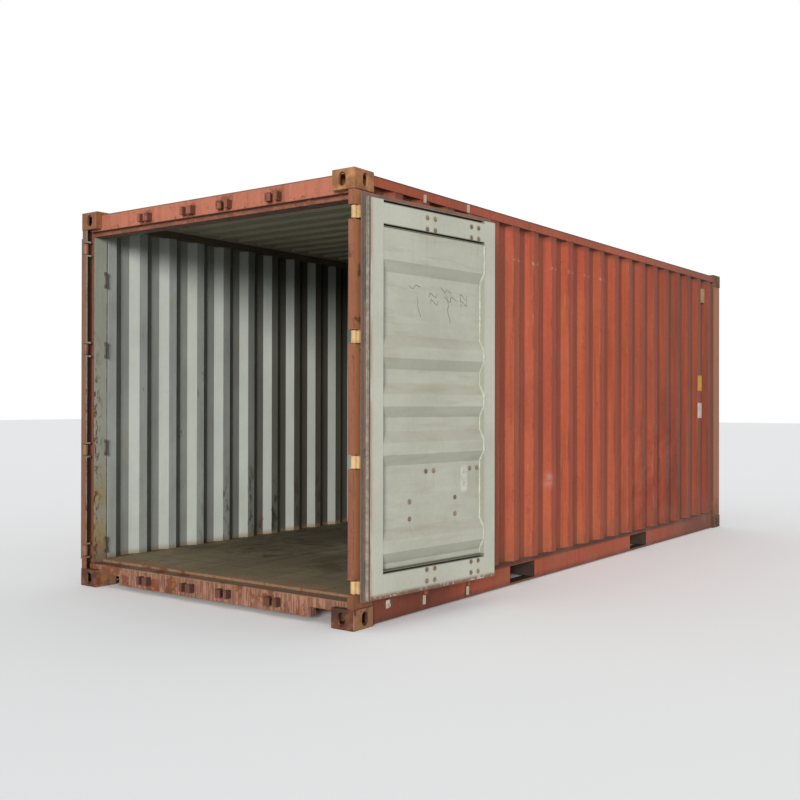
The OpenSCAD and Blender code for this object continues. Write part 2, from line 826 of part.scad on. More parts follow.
// Ring round the leaf's edge, d deep from y, with its reach on each side
module leaf_ring(y, d, at_mid, at_post, at_sill, at_head) {
    w = leaf_x1 - leaf_x0;
    h = leaf_z1 - leaf_z0;
    translate([leaf_x0, y, leaf_z0]) difference() {
        translate([-at_mid, 0, -at_sill]) cube([w + at_mid + at_post, d, h + at_sill + at_head]);
        translate([0, -eps, 0]) cube([w, d + 2 * eps, h]);
    }
}

// Outer lip that lies over the frame's step, base strip and inner bead
module door_gasket() {
    base = 2;
    bead_y = leaf_y + leaf_t - bead_d - 5;
    lip_low = leaf_gap_low - lip_clear;
    lip_top = nose_z - leaf_z1 - lip_clear;
    leaf_ring(leaf_y, lip_t, lip_mid, lip_side, lip_low, lip_top);
    leaf_ring(leaf_y, bead_y + bead_d - leaf_y, base, base, base, base);
    leaf_ring(bead_y, bead_d, bead_side, bead_side, bead_z, bead_z);
}

// Knuckle on the pin, web and blade lying on the leaf's outer face
module door_hinges() {
    on_leaf = leaf_in_y - pin_in_y;
    edge = pin_x - leaf_x1;
    for (z = hinge_zs) translate([pin_x, pin_y, z - knuckle_h / 2]) difference() {
        union() {
            cylinder(r = knuckle_r, h = knuckle_h);
            translate([-edge - blade_l, on_leaf - blade_t, 0])
                cube([edge + blade_l - 6, blade_t, knuckle_h]);
            linear_extrude(knuckle_h) polygon([[-knuckle_r + 1, 2],
                [-knuckle_r - 4, on_leaf - blade_t + 1], [-6, on_leaf - 1], [-3.5, 14]]);
        }
        translate([0, 0, -eps]) cylinder(r = pin_r + pin_clear, h = knuckle_h + 2 * eps);
    }
}

// Plate on the leaf with a bearing for the bar
module bar_bracket(plate_h, pad_t) {
    edge = 48;
    plate_t = 6;
    bear_h = 24;
    wall = 7;
    off = leaf_in_y - bar_in_y;
    translate([-bar_r - wall, off - plate_t, -plate_h / 2])
        cube([bar_r + wall + bracket_off + edge, plate_t + pad_t, plate_h]);
    difference() {
        union() {
            translate([0, 0, -bear_h / 2]) cylinder(r = bar_r + wall, h = bear_h);
            translate([-bar_r - wall, 0, -bear_h / 2])
                cube([2 * bar_r + 2 * wall, off - plate_t + eps, bear_h]);
        }
        translate([0, 0, -bear_h / 2 - eps]) cylinder(r = bar_r + pin_clear, h = bear_h + 2 * eps);
    }
}

module bar_brackets() {
    for (x = bar_xs) for (i = [0:2]) translate([x, bar_y, bracket_zs[i]])
        bar_bracket(i == 1 ? 50 : 92, i == 1 ? panel_in_y : 0);
}

// Plate with two jaws that the handle lies between
module handle_catch() {
    off = leaf_in_y - bar_in_y;
    plate_h = 130;
    plate_t = 6;
    jaw_t = 8;
    reach = off - handle_in_y + handle_t / 2 + 5;
    gap = handle_w / 2 + 5;
    translate([-catch_w / 2, off - plate_t, -plate_h / 2])
        cube([catch_w, plate_t + panel_in_y, plate_h]);
    for (s = [-1, 1]) translate([-catch_w / 2, off - reach, s * (gap + jaw_t / 2) - jaw_t / 2])
        cube([catch_w, reach - plate_t + eps, jaw_t]);
}

module handle_catches() {
    for (x = bar_xs) translate([x + catch_x, bar_y, handle_z]) handle_catch();
}

// Locking bar with its axis on Z: tube, quarter-round cams and the handle's fork
module locking_bar() {
    z0 = keeper_z_low + cam_h / 2;
    z1 = keeper_z_top - cam_h / 2;
    cheek_t = 5;
    cheek_y = handle_t / 2 + 0.5;
    pin = 5;
    difference() {
        translate([0, 0, z0]) cylinder(r = bar_r, h = z1 - z0);
        translate([0, 0, z0 + 20]) cylinder(r = bar_r - bar_t, h = z1 - z0 - 40);
    }
    for (z = [keeper_z_low - cam_h / 2, z1 - eps]) translate([0, 0, z]) intersection() {
        cylinder(r = cam_r, h = cam_h + eps);
        translate([-cam_r - eps, 0, 0]) cube([cam_r + eps, cam_r + eps, cam_h + eps]);
    }
    translate([0, handle_in_y, 0]) {
        for (s = [-1, 1]) translate([0, s * (cheek_y + cheek_t / 2), handle_z]) {
            translate([5, -cheek_t / 2, -9]) cube([handle_off - 5, cheek_t, 18]);
            translate([handle_off, cheek_t / 2, 0]) rotate([90, 0, 0]) cylinder(r = 9, h = cheek_t);
        }
        translate([handle_off, cheek_y + cheek_t, handle_z]) rotate([90, 0, 0])
            cylinder(r = pin, h = 2 * (cheek_y + cheek_t));
    }
}

// Handle hanging from its pivot at the origin
module handle() {
    eye = 9;
    difference() {
        union() {
            translate([0, handle_t / 2, 0]) rotate([90, 0, 0]) cylinder(r = eye, h = handle_t);
            translate([-handle_w / 2, -handle_t / 2, -handle_l]) cube([handle_w, handle_t, handle_l]);
            translate([0, handle_t / 2, -handle_l]) rotate([90, 0, 0])
                cylinder(d = handle_w, h = handle_t);
        }
        translate([0, handle_t, -handle_l]) rotate([90, 0, 0]) cylinder(r = 3, h = 2 * handle_t);
        translate([0, handle_t, 0]) rotate([90, 0, 0]) cylinder(r = 5 + pin_clear, h = 2 * handle_t);
    }
}

module bar_at(x) {
    opened() unlocked(x) translate([x, bar_y, 0]) locking_bar();
}

module handle_at(x) {
    opened() unlocked(x) translate([x + handle_off, bar_y + handle_in_y, handle_z]) handle();
}

top_corner_castings();
bottom_corner_castings();
left_rear_post();
right_rear_post();
left_front_post();
right_front_post();
door_header();
door_sill();
cam_keepers();
left_top_rail();
right_top_rail();
left_bottom_rail();
right_bottom_rail();
front_top_rail();
front_bottom_rail();
left_wall();
right_wall();
front_wall();
roof();
floor_boards();  // floor
cross_members();
fork_pockets();
lashing_bars();
ventilators();
color(grey) opened() door_frame();  // right_door_frame
color(grey) opened() door_panel();  // right_door_panel
color("dimgray") opened() door_gasket();  // right_door_gasket
color(rusty) opened() door_hinges();  // right_door_hinges
color(zinc) opened() bar_brackets();  // right_bar_brackets
color(zinc) opened() handle_catches();  // right_handle_catches
color(zinc) bar_at(bar_x_in);  // right_bar_inner
color(zinc) bar_at(bar_x_out);  // right_bar_outer
color(zinc) handle_at(bar_x_in);  // right_handle_inner
color(zinc) handle_at(bar_x_out);  // right_handle_outer
color(grey) mirror([1, 0, 0]) opened() door_frame();  // left_door_frame
color(grey) mirror([1, 0, 0]) opened() door_panel();  // left_door_panel
color("dimgray") mirror([1, 0, 0]) opened() door_gasket();  // left_door_gasket
color(rusty) mirror([1, 0, 0]) opened() door_hinges();  // left_door_hinges
color(zinc) mirror([1, 0, 0]) opened() bar_brackets();  // left_bar_brackets
color(zinc) mirror([1, 0, 0]) opened() handle_catches();  // left_handle_catches
color(zinc) mirror([1, 0, 0]) bar_at(bar_x_in);  // left_bar_inner
color(zinc) mirror([1, 0, 0]) bar_at(bar_x_out);  // left_bar_outer
color(zinc) mirror([1, 0, 0]) handle_at(bar_x_in);  // left_handle_inner
color(zinc) mirror([1, 0, 0]) handle_at(bar_x_out);  // left_handle_outer
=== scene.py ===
import bpy
import bmesh
import math
import random
from mathutils import Matrix, Vector


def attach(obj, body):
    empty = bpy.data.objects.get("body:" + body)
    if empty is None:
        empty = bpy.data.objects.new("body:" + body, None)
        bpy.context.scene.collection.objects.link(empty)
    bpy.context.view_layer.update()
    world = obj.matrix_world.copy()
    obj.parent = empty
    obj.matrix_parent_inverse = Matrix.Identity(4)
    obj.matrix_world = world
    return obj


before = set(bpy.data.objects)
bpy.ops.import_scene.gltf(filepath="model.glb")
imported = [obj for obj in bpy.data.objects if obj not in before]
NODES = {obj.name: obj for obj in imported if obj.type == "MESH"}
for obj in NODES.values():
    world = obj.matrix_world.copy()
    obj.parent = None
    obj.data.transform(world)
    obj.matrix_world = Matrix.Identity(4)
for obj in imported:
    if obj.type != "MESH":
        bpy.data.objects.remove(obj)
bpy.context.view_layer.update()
R = random.Random(7)

# Sizes repeated from the CAD model, in metres
PIN = Vector((1.199, -3.005, 0))
OPEN = math.radians(263.5)
SIDES = {"right": 1, "left": -1}
CAST_X, CAST_Y, CAST_H = 1.057, 2.851, 0.118
BOX_H = 2.591
POST_X, POST_IN = 1.213, 1.170
LEAF_X = (0.020, 1.159)
LEAF_Y, LEAF_T = -2.969, 0.050
LEAF_Z = (0.174, 2.422)
STILE, CHANNEL, SLOT = 0.108, 0.150, 0.014
PANEL_BACK = 0.012
RIB_TOP, RIB_LOW, RIB_PITCH = 2.123, 0.455, 0.278
RIB_FLAT, RIB_SLOPE, RIB_DEPTH = 0.070, 0.064, 0.034
BARS = (0.164, 0.580)
BRACKETS = (0.256, 0.867, 2.335)
BOLT_OFF, BOLT_HALF, BOLT_RISE = 0.060, 0.0355, 0.034
CATCH_X, CATCH_Z, CATCH_RISE = 0.240, 0.645, 0.0505
PANEL_SHIFT = 0.032
WALL_X, WALL_DEPTH = 1.2135, 0.036
WALL_PITCH, WALL_FLAT, WALL_SLOPE = 0.280, 0.072, 0.068
WALL_START = {"right": 0.248, "left": 0.192}
FLOOR_Z, RAIL_Z = 0.170, 2.513
BOARD_WIDE, BOARD_LONG = 0.5775, 1.21
PLATE_T = 0.0012
HINGE_ZS = (0.243, 0.943, 1.643, 2.343)
RAIL_FACE, END_FACE = 1.2035, -3.0245
RIBS = (0, 2, 3, 4)
SILL_Z, HEADER_Z, KEEPER_Z = 0.152, 2.460, 2.500
CROSS_YS = [-CAST_Y + 0.100 + k * (2 * CAST_Y - 0.240) / 15 for k in range(16)]


# ---------------------------------------------------------------- materials
class Mat:
    """Short calls for building one procedural material."""

    def __init__(s, name):
        m = bpy.data.materials.new(name)
        m.use_nodes = True
        s.m, s.t = m, m.node_tree
        s.t.nodes.clear()
        s.b = s.n("BsdfPrincipled")
        s.t.links.new(s.b.outputs[0], s.n("OutputMaterial").inputs[0])
        tc = s.n("TexCoord")
        s.P, s.N = tc.outputs["Object"], tc.outputs["Normal"]
        sep = s.n("SeparateXYZ")
        s.put(sep.inputs[0], s.P)
        s.x, s.y, s.z = sep.outputs
        s.gloss = 0.25

    def n(s, kind, **props):
        node = s.t.nodes.new("ShaderNode" + kind)
        for k, v in props.items():
            setattr(node, k, v)
        return node

    def put(s, socket, v):
        if isinstance(v, bpy.types.NodeSocket):
            s.t.links.new(v, socket)
        elif isinstance(v, (tuple, list)) and socket.type == "RGBA" and len(v) == 3:
            socket.default_value = (*v, 1)
        else:
            socket.default_value = v

    def f(s, op, *values):
        node = s.n("Math", operation=op)
        for socket, v in zip(node.inputs, values):
            s.put(socket, v)
        return node.outputs[0]

    def mul(s, a, b, *more):
        """Product."""
        out = s.f("MULTIPLY", a, b)
        return s.mul(out, *more) if more else out

    def top(s, a, b, *more):
        """Largest value."""
        out = s.f("MAXIMUM", a, b)
        return s.top(out, *more) if more else out

    def abs(s, a):
        return s.f("ABSOLUTE", a)

    def mad(s, a, k, b):
        """a times k plus b."""
        return s.f("MULTIPLY_ADD", a, k, b)

    def rest(s, a):
        """1 minus a."""
        return s.f("SUBTRACT", 1.0, a)

    def v(s, op, a, b):
        node = s.n("VectorMath", operation=op)
        s.put(node.inputs[0], a)
        s.put(node.inputs[1], b)
        return node.outputs["Value" if op == "DOT_PRODUCT" else "Vector"]

    def noise(s, scale, detail=3.0, rough=0.55, stretch=None, shift=0.0):
        node = s.n("TexNoise")
        vec = s.P
        if stretch:
            vec = s.v("MULTIPLY", vec, stretch)
        if shift:
            vec = s.v("ADD", vec, (shift, shift * 0.7, shift * 1.3))
        s.put(node.inputs["Vector"], vec)
        node.inputs["Scale"].default_value = scale
        node.inputs["Detail"].default_value = detail
        node.inputs["Roughness"].default_value = rough
        return node.outputs["Fac"]

    def step(s, x, lo, hi, a=0.0, b=1.0):
        node = s.n("MapRange", interpolation_type="SMOOTHSTEP")
        for i, v in enumerate((x, lo, hi, a, b)):
            s.put(node.inputs[i], v)
        return node.outputs[0]

    def band(s, x, lo, hi, soft):
        """1 between lo and hi, with soft ends."""
        return s.mul(s.step(x, lo - soft, lo + soft), s.step(x, hi + soft, hi - soft))

    def mix(s, t, a, b):
        node = s.n("Mix", data_type="RGBA")
        s.put(node.inputs[0], t)
        s.put(node.inputs[6], a)
        s.put(node.inputs[7], b)
        return node.outputs[2]

    def scale_colour(s, colour, k):
        node = s.n("Mix", data_type="RGBA", blend_type="MULTIPLY")
        node.inputs[0].default_value = 1.0
        s.put(node.inputs[6], colour)
        comb = s.n("CombineColor")
        for i in range(3):
            s.put(comb.inputs[i], k)
        s.put(node.inputs[7], comb.outputs[0])
        return node.outputs[2]

    def tint(s, colour, spread):
        """The colour, varied a little in brightness by a coarse and a fine noise."""
        k = s.mad(s.noise(1.4, 4, 0.6, shift=21), spread, 1 - spread / 2)
        k = s.mul(k, s.mad(s.noise(42, 4, 0.6), spread, 1 - spread / 2))
        return s.scale_colour(colour, k)

    def streaks(s, width, length, lo, hi, shift=0.0):
        """Vertical runs of about the given width and length."""
        v = s.noise(1.0, 4, 0.6, stretch=(1 / width, 1 / width, 1 / length), shift=shift)
        return s.step(v, lo, hi)

    def toward(s, direction, lo=0.02, hi=0.08):
        """1 on faces that look in the direction."""
        return s.step(s.v("DOT_PRODUCT", s.N, direction), lo, hi)

    def edge(s, radius):
        """1 on sharp edges and 0 on flats."""
        bevel = s.n("Bevel", samples=4)
        bevel.inputs["Radius"].default_value = radius
        geo = s.n("NewGeometry")
        return s.step(s.v("DOT_PRODUCT", bevel.outputs[0], geo.outputs["Normal"]), 0.995, 0.90)

    def finish(s, colour, rough, height, bump=0.3, dist=0.004, metal=0.0):
        s.put(s.b.inputs["Base Color"], colour)
        s.put(s.b.inputs["Roughness"], rough)
        s.put(s.b.inputs["Metallic"], metal)
        s.b.inputs["Specular IOR Level"].default_value = s.gloss
        node = s.n("Bump")
        node.inputs["Strength"].default_value = bump
        node.inputs["Distance"].default_value = dist
        s.put(node.inputs["Height"], height)
        s.put(s.b.inputs["Normal"], node.outputs[0])
        return s.m


# Linear colours that several materials share
RED = (0.250, 0.046, 0.017)
RED_ORANGE = (0.268, 0.062, 0.027)
RED_CRIMSON = (0.225, 0.036, 0.019)
RED_DEEP = (0.125, 0.025, 0.012)
RED_CHALK = (0.330, 0.130, 0.075)
SALMON = (0.265, 0.088, 0.052)
GREY = (0.262, 0.278, 0.256)
GREY_DOOR = (0.305, 0.308, 0.258)
GREY_STILE = (0.325, 0.330, 0.275)
OLIVE = (0.120, 0.110, 0.070)
RUST_A = (0.150, 0.050, 0.020)
RUST_B = (0.045, 0.019, 0.012)
RUST_C = (0.190, 0.072, 0.026)


def rust_colour(s):
    c = s.mix(s.noise(9, 5, 0.7, shift=3), RUST_B, RUST_A)
    return s.mix(s.step(s.noise(23, 4, 0.6, shift=8), 0.52, 0.68), c, RUST_C)


def rust_mask(s, amount, scale=4.0, shift=0.0):
    """Patches, with fine flecks round them. amount runs from 0 to 1."""
    big = s.noise(scale, 9, 0.66, shift=shift)
    wide = s.noise(scale * 0.24, 3, 0.5, shift=shift + 5)
    field = s.mad(wide, 0.5, s.mul(big, 0.75))
    lo = 0.80 - 0.30 * amount
    patches = s.step(field, lo, lo + 0.035)
    flecks = s.step(s.noise(scale * 11, 4, 0.6, shift=shift + 2), 0.74 - 0.12 * amount, 0.80 - 0.12 * amount)
    flecks = s.mul(flecks, s.step(field, lo - 0.16, lo - 0.02))
    return s.top(patches, flecks)


def red_paint(s, base=RED, chalk=0.35):
    """Weathered red coat: hue drifts, dull runs and chalky runs."""
    drift, deep = (RED_ORANGE, RED_CRIMSON) if base is RED else (base, tuple(c * 0.85 for c in base))
    col = s.mix(s.step(s.noise(0.55, 3, 0.5, shift=14), 0.35, 0.65), base, drift)
    col = s.mix(s.mul(s.step(s.noise(1.3, 5, 0.6, shift=17), 0.45, 0.65), 0.6), col, deep)
    col = s.mix(s.mul(s.streaks(0.035, 1.1, 0.46, 0.70), 0.55), col, tuple(c * 0.62 for c in base))
    col = s.mix(s.mul(s.streaks(0.020, 0.6, 0.60, 0.76, 4), chalk), col, RED_CHALK)
    spots = s.step(s.noise(16, 6, 0.72, shift=23), 0.57, 0.64)
    spots = s.mul(spots, s.step(s.noise(1.7, 3, 0.5, shift=24), 0.40, 0.62))
    col = s.mix(s.mul(spots, 0.45), col, tuple(c * 0.50 for c in base))
    scratch = s.step(s.noise(1.0, 3, 0.6, stretch=(85, 85, 6), shift=26), 0.645, 0.69)
    scratch = s.mul(scratch, s.step(s.noise(1.9, 3, 0.5, shift=27), 0.44, 0.60))
    col = s.mix(s.mul(scratch, 0.55), col, RED_CHALK)
    return s.tint(col, 0.36)


def grey_paint(s, base=GREY, stain=0.35, runs=0.40):
    """Weathered grey coat of the inside: dull runs, yellowish and brown stains."""
    col = s.mix(s.step(s.noise(1.1, 4, 0.6, shift=31), 0.40, 0.65), base, tuple(c * 0.88 for c in base))
    col = s.mix(s.mul(s.streaks(0.030, 0.8, 0.50, 0.72, 33), runs), col, tuple(c * 0.72 for c in base))
    halo = s.step(s.noise(3.6, 6, 0.65, shift=12), 0.58, 0.78)
    col = s.mix(s.mul(halo, stain), col, (0.30, 0.22, 0.12))
    return s.tint(col, 0.16)


def coat(s, col, rust, dent=0.5, rough=0.48, extra=None):
    """Puts rust on the coat and gives both their roughness and relief."""
    col = s.mix(rust, col, rust_colour(s))
    fine = s.noise(38, 4, 0.6)
    dents = s.mad(s.noise(2.2, 2, 0.4, shift=2), 22.0 * dent,
                s.mul(s.noise(6, 2, 0.4), 3.0 * dent))
    if extra is not None:
        dents = s.f("ADD", dents, extra)
    height = s.f("ADD", s.mad(fine, 0.10, s.mul(rust, -0.25)), dents)
    return s.finish(col, s.f("ADD", s.mad(fine, 0.2, rough), s.mul(rust, 0.25)), height)


def chipped(s, amount, radius=0.010):
    """Bare steel along edges."""
    lo = 0.66 - 0.3 * amount
    return s.mul(s.edge(radius), s.step(s.noise(7, 5, 0.7, shift=6), lo, lo + 0.08))


def near_ground(s, amount, top=0.5):
    """Rust that grows downwards from the height top."""
    low = s.mul(s.step(s.z, top, 0.12), amount)
    return s.mul(rust_mask(s, 0.85, 6.0, 9), low)


def wall_paint(side):
    """Corrugated side sheet: red outside, grey inside, marked by its own corrugation; painted shade on the
    outer crest flats and troughs, and painted light and shade inside.
    """
    s = Mat(f"wall_paint_{side}")
    sign = SIDES[side]
    phase = s.f("FRACT", s.mad(s.y, 1 / WALL_PITCH, (CAST_Y - WALL_START[side]) / WALL_PITCH + 0.5))
    off = s.mul(s.abs(s.f("SUBTRACT", phase, 0.5)), WALL_PITCH)
    crest_edge = s.band(off, WALL_FLAT / 2 - 0.003, WALL_FLAT / 2 + 0.003, 0.003)
    # outside: painted shade on the crest flats and troughs leaves the slopes brightest
    red = red_paint(s)
    # painted shade on the crest flats
    crest = s.step(off, WALL_FLAT / 2 + 0.004, WALL_FLAT / 2 - 0.002)
    red = s.mix(s.mul(crest, 0.34), red, (0.125, 0.021, 0.011))
    # painted shade in the troughs
    red = s.mix(s.mul(s.step(off, 0.100, 0.106), 0.50), red, (0.105, 0.019, 0.010))
    wear = s.mul(crest_edge, s.step(s.noise(1.0, 5, 0.7, stretch=(30, 9, 5), shift=41), 0.51, 0.61))
    wear = s.mul(wear, s.step(s.noise(0.5, 2, 0.5, shift=44), 0.32, 0.56))
    red = s.mix(s.mul(wear, 0.65), red, RED_CHALK)
    dark = s.step(s.noise(1.0, 5, 0.7, stretch=(30, 14, 3), shift=42), 0.50, 0.62)
    dark = s.mul(s.band(off, 0.026, 0.046, 0.004), dark)
    red = s.mix(s.mul(dark, 0.6), red, RED_DEEP)
    row = s.mul(s.band(s.z, 2.270, 2.290, 0.006), s.band(s.y, -1.35, 0.30, 0.10))
    row = s.mul(row, s.step(s.noise(1.0, 4, 0.7, stretch=(8, 22, 60), shift=46), 0.44, 0.56))
    row = s.mul(row, s.band(off, 0.016, 0.048, 0.006))
    red = s.mix(s.mul(row, 0.6), red, (0.34, 0.19, 0.13))
    marks = s.mul(s.band(s.z, 1.855, 1.880, 0.006), s.band(s.y, -0.8, 1.6, 0.1), crest_edge)
    red = s.mix(marks, red, RED_DEEP)
    # darker towards the front end, from y = -0.8 on, by a noisy amount
    front_end_dark = s.mad(s.step(s.noise(1.0, 4, 0.6, stretch=(2, 8, 0.7), shift=48), 0.3, 0.7), 0.45, 0.50)
    red = s.mix(s.mul(front_end_dark, s.step(s.y, -0.8, 3.0)), red, (0.070, 0.014, 0.006))
    smear = s.mul(s.band(s.z, 0.66, 0.75, 0.03), s.band(s.y, -0.73, -0.66, 0.03))
    smear = s.mul(smear, s.step(s.noise(14, 4, 0.7, shift=47), 0.25, 0.75))
    red = s.mix(s.mul(smear, 0.7), red, (0.30, 0.19, 0.15))
    red = s.mix(s.mul(s.step(s.z, RAIL_Z - 0.06, RAIL_Z - 0.005), 0.6), red, (0.060, 0.017, 0.010))
    splash = s.mul(s.step(s.z, 0.42, FLOOR_Z), s.step(s.noise(5, 5, 0.6, shift=49), 0.35, 0.65))
    red = s.mix(s.mul(splash, 0.35), red, (0.130, 0.050, 0.030))
    red = s.mix(s.mul(s.step(s.z, FLOOR_Z + 0.010, FLOOR_Z + 0.005), 0.4), red, (0.22, 0.10, 0.06))
    # inside
    grey = grey_paint(s)
    spots = s.step(s.noise(7, 5, 0.65, shift=52), 0.66, 0.72)
    spots = s.mul(spots, s.step(s.noise(1.2, 2, 0.5, shift=53), 0.45, 0.6))
    grey = s.mix(s.mul(spots, 0.8), grey, (0.26, 0.24, 0.09))
    trough = s.step(off, 0.096, 0.110)
    rub = s.step(s.noise(1.0, 6, 0.75, stretch=(22, 22, 7), shift=55), 0.50, 0.58)
    rub = s.mul(rub, trough, s.step(s.z, 0.95, 0.45), s.step(s.y, -2.2, -1.4))
    grey = s.mix(rub, grey, (0.018, 0.018, 0.017))
    rub_high = s.step(s.noise(1.0, 6, 0.7, stretch=(20, 20, 6), shift=57), 0.60, 0.68)
    rub_high = s.mul(trough, rub_high, s.band(s.z, 1.30, 1.75, 0.1))
    grey = s.mix(s.mul(rub_high, 0.7), grey, (0.06, 0.07, 0.08))
    # painted light on inner faces that look towards the doors; painted shade on faces that look away, on the
    # recessed flats and deeper into the box
    lit = s.toward((0, -1, 0), 0.2, 0.4)
    deep = s.mix(lit, s.step(s.y, -2.2, -0.7, 0.0, 0.92), s.step(s.y, -1.6, 1.6, 0.0, 0.70))
    grey = s.mix(s.mul(s.toward((0, 1, 0), 0.2, 0.4), 0.35), grey, (0.085, 0.082, 0.060))
    grey = s.mix(s.mul(s.step(off, 0.044, 0.034), 0.30), grey, (0.105, 0.106, 0.085))
    grey = s.mix(s.mul(lit, 0.30), grey, (0.36, 0.375, 0.34))
    grey = s.mix(deep, grey, (0.042, 0.038, 0.026))
    grey = s.mix(s.mul(s.step(s.z, FLOOR_Z + 0.05, FLOOR_Z), 0.7), grey, (0.16, 0.10, 0.05))
    inside = s.toward((-sign, 0, 0))
    col = s.mix(inside, red, grey)
    rust = s.mul(rust_mask(s, 0.02, 5.0), 0.9)
    rust = s.top(rust, s.mul(near_ground(s, 0.22, 0.34), s.rest(inside)))
    # a wide knock low down in the wall's front half
    knock = s.mul(s.band(s.y, 0.75, 1.85, 0.45), s.band(s.z, 0.25, 1.30, 0.35))
    knock = s.mul(knock, s.noise(3.4, 2, 0.4, shift=58), 190.0)
    return coat(s, col, rust, 1.0, 0.48, knock)


def plain_sheet(name, inner_dir, inner_base, dent=0.9, rust=0.10, gloss=0.25):
    """Roof and front sheet."""
    s = Mat(name)
    s.gloss = gloss
    inside = s.toward(inner_dir)
    col = s.mix(inside, red_paint(s), grey_paint(s, inner_base))
    rusty = s.mul(s.top(rust_mask(s, rust, 4.0), near_ground(s, 0.3)), s.rest(inside))
    return coat(s, col, rusty, dent)


def toward_middle(s):
    """Positive on faces that look towards the plane x = 0."""
    sep = s.n("SeparateXYZ")
    s.put(sep.inputs[0], s.N)
    return s.mul(sep.outputs[0], s.f("SIGN", s.x), -1.0)


def post_paint():
    """Corner posts: scuffed orange red outside, grey inside, rusting at the lower outer edge."""
    s = Mat("post_paint")
    red = red_paint(s, (0.215, 0.074, 0.034), 0.35)
    red = s.mix(s.mul(s.streaks(0.012, 1.6, 0.52, 0.66, 61), 0.45), red, (0.30, 0.125, 0.065))
    red = s.mix(s.mul(s.step(s.z, 1.8, 0.3), 0.45), red, (0.130, 0.042, 0.022))
    red = s.mix(s.step(s.x, -1.0, -1.1, 0.0, 0.65), red, (0.085, 0.040, 0.028))
    scuff = s.step(s.noise(1.0, 6, 0.72, stretch=(60, 60, 9), shift=62), 0.56, 0.64)
    red = s.mix(s.mul(scuff, 0.7), red, (0.075, 0.026, 0.015))
    grey = grey_paint(s, (0.250, 0.255, 0.213), 0.25)
    red = s.mix(s.step(s.y, 0.0, 2.0, 0.0, 0.75), red, (0.070, 0.022, 0.012))
    yellow = s.mul(s.step(s.z, 0.95, 0.45), s.step(s.noise(6, 5, 0.65, shift=63), 0.36, 0.56))
    grey = s.mix(s.mul(yellow, 0.75), grey, (0.235, 0.180, 0.066))
    # painted shade on the right post's faces that look to the door end (-Y), painted light on those that
    # look to +X
    near = s.step(s.x, 1.0, 1.1)
    red = s.mix(s.mul(s.toward((0, -1, 0), 0.5, 0.8), near, 0.38), red, (0.085, 0.036, 0.022))
    red = s.mix(s.mul(s.toward((1, 0, 0), 0.5, 0.8), near, 0.35), red, (0.360, 0.165, 0.082))
    ax = s.abs(s.x)
    # painted shade in the post's groove where the door's edge closes
    groove = s.mul(s.band(ax, 1.195, 1.206, 0.003), s.band(s.y, -2.995, -2.956, 0.003))
    red = s.mix(s.mul(groove, 0.75), red, (0.048, 0.021, 0.014))
    zone = s.top(s.step(ax, POST_IN + 0.008, POST_IN + 0.002), s.step(s.y, -2.958, -2.952))
    inside = s.mul(s.step(toward_middle(s), 0.02, 0.08), zone)
    col = s.mix(inside, red, grey)
    # flecks of rust on the grey inner face, dense at the outer edge and low down
    outer = s.step(s.y, -2.860, -2.950)
    low = s.step(s.z, 1.95, 1.2)
    flecks = s.step(s.noise(1.0, 5, 0.75, stretch=(34, 34, 15), shift=65), 0.53, 0.57)
    flecks = s.mul(flecks, outer, low, inside)
    bare = s.mul(rust_mask(s, 0.30, 5.0), s.rest(inside))
    return coat(s, col, s.top(flecks, bare, chipped(s, 0.55), near_ground(s, 0.7, 0.42)), 0.15)


def rail_paint():
    """Top and bottom rails: brick red, dark along the upper edge of each and under the wall's foot."""
    s = Mat("rail_paint")
    col = red_paint(s, (0.250, 0.050, 0.020), 0.2)
    low = s.step(s.z, 0.5, 0.3)
    shade_low = s.mul(low, s.step(s.z, 0.128, 0.150))
    col = s.mix(s.mul(shade_low, 0.85), col, (0.036, 0.012, 0.008))
    foot = s.mul(low, s.step(s.z, 0.056, 0.016))
    col = s.mix(s.mul(foot, 0.6), col, (0.060, 0.022, 0.014))
    ends = s.mul(low, s.top(s.step(s.y, -1.85, -2.15), s.step(s.y, 1.3, 2.6)))
    col = s.mix(s.mul(ends, 0.70), col, (0.080, 0.022, 0.012))
    top = s.step(s.z, BOX_H - 0.034, BOX_H - 0.022)
    col = s.mix(s.mul(top, 0.8), col, (0.055, 0.030, 0.019))
    worn = s.step(s.noise(1.0, 5, 0.65, stretch=(6, 2.2, 14), shift=71), 0.55, 0.68)
    col = s.mix(s.mul(worn, s.step(s.z, 2.3, 2.5), 0.40), col, (0.12, 0.050, 0.024))
    col = s.mix(s.mul(s.step(s.y, 0.6, 2.8), 0.5), col, (0.075, 0.026, 0.015))
    flat = s.top(s.toward((0, 0, -1), 0.5, 0.7), s.toward((0, 0, 1), 0.5, 0.7))
    flat = s.mul(flat, s.step(s.abs(s.x), 1.212, 1.206))
    inside = s.top(s.step(toward_middle(s), 0.02, 0.08), flat)
    col = s.mix(inside, col, grey_paint(s, (0.085, 0.072, 0.045)))
    dusty = s.mul(low, s.step(s.noise(3.0, 5, 0.6, shift=73), 0.50, 0.66))
    col = s.mix(s.mul(dusty, 0.30), col, (0.19, 0.085, 0.050))
    rust = s.top(rust_mask(s, 0.16, 6.0), chipped(s, 0.35, 0.006))
    return coat(s, col, rust, 0.2)


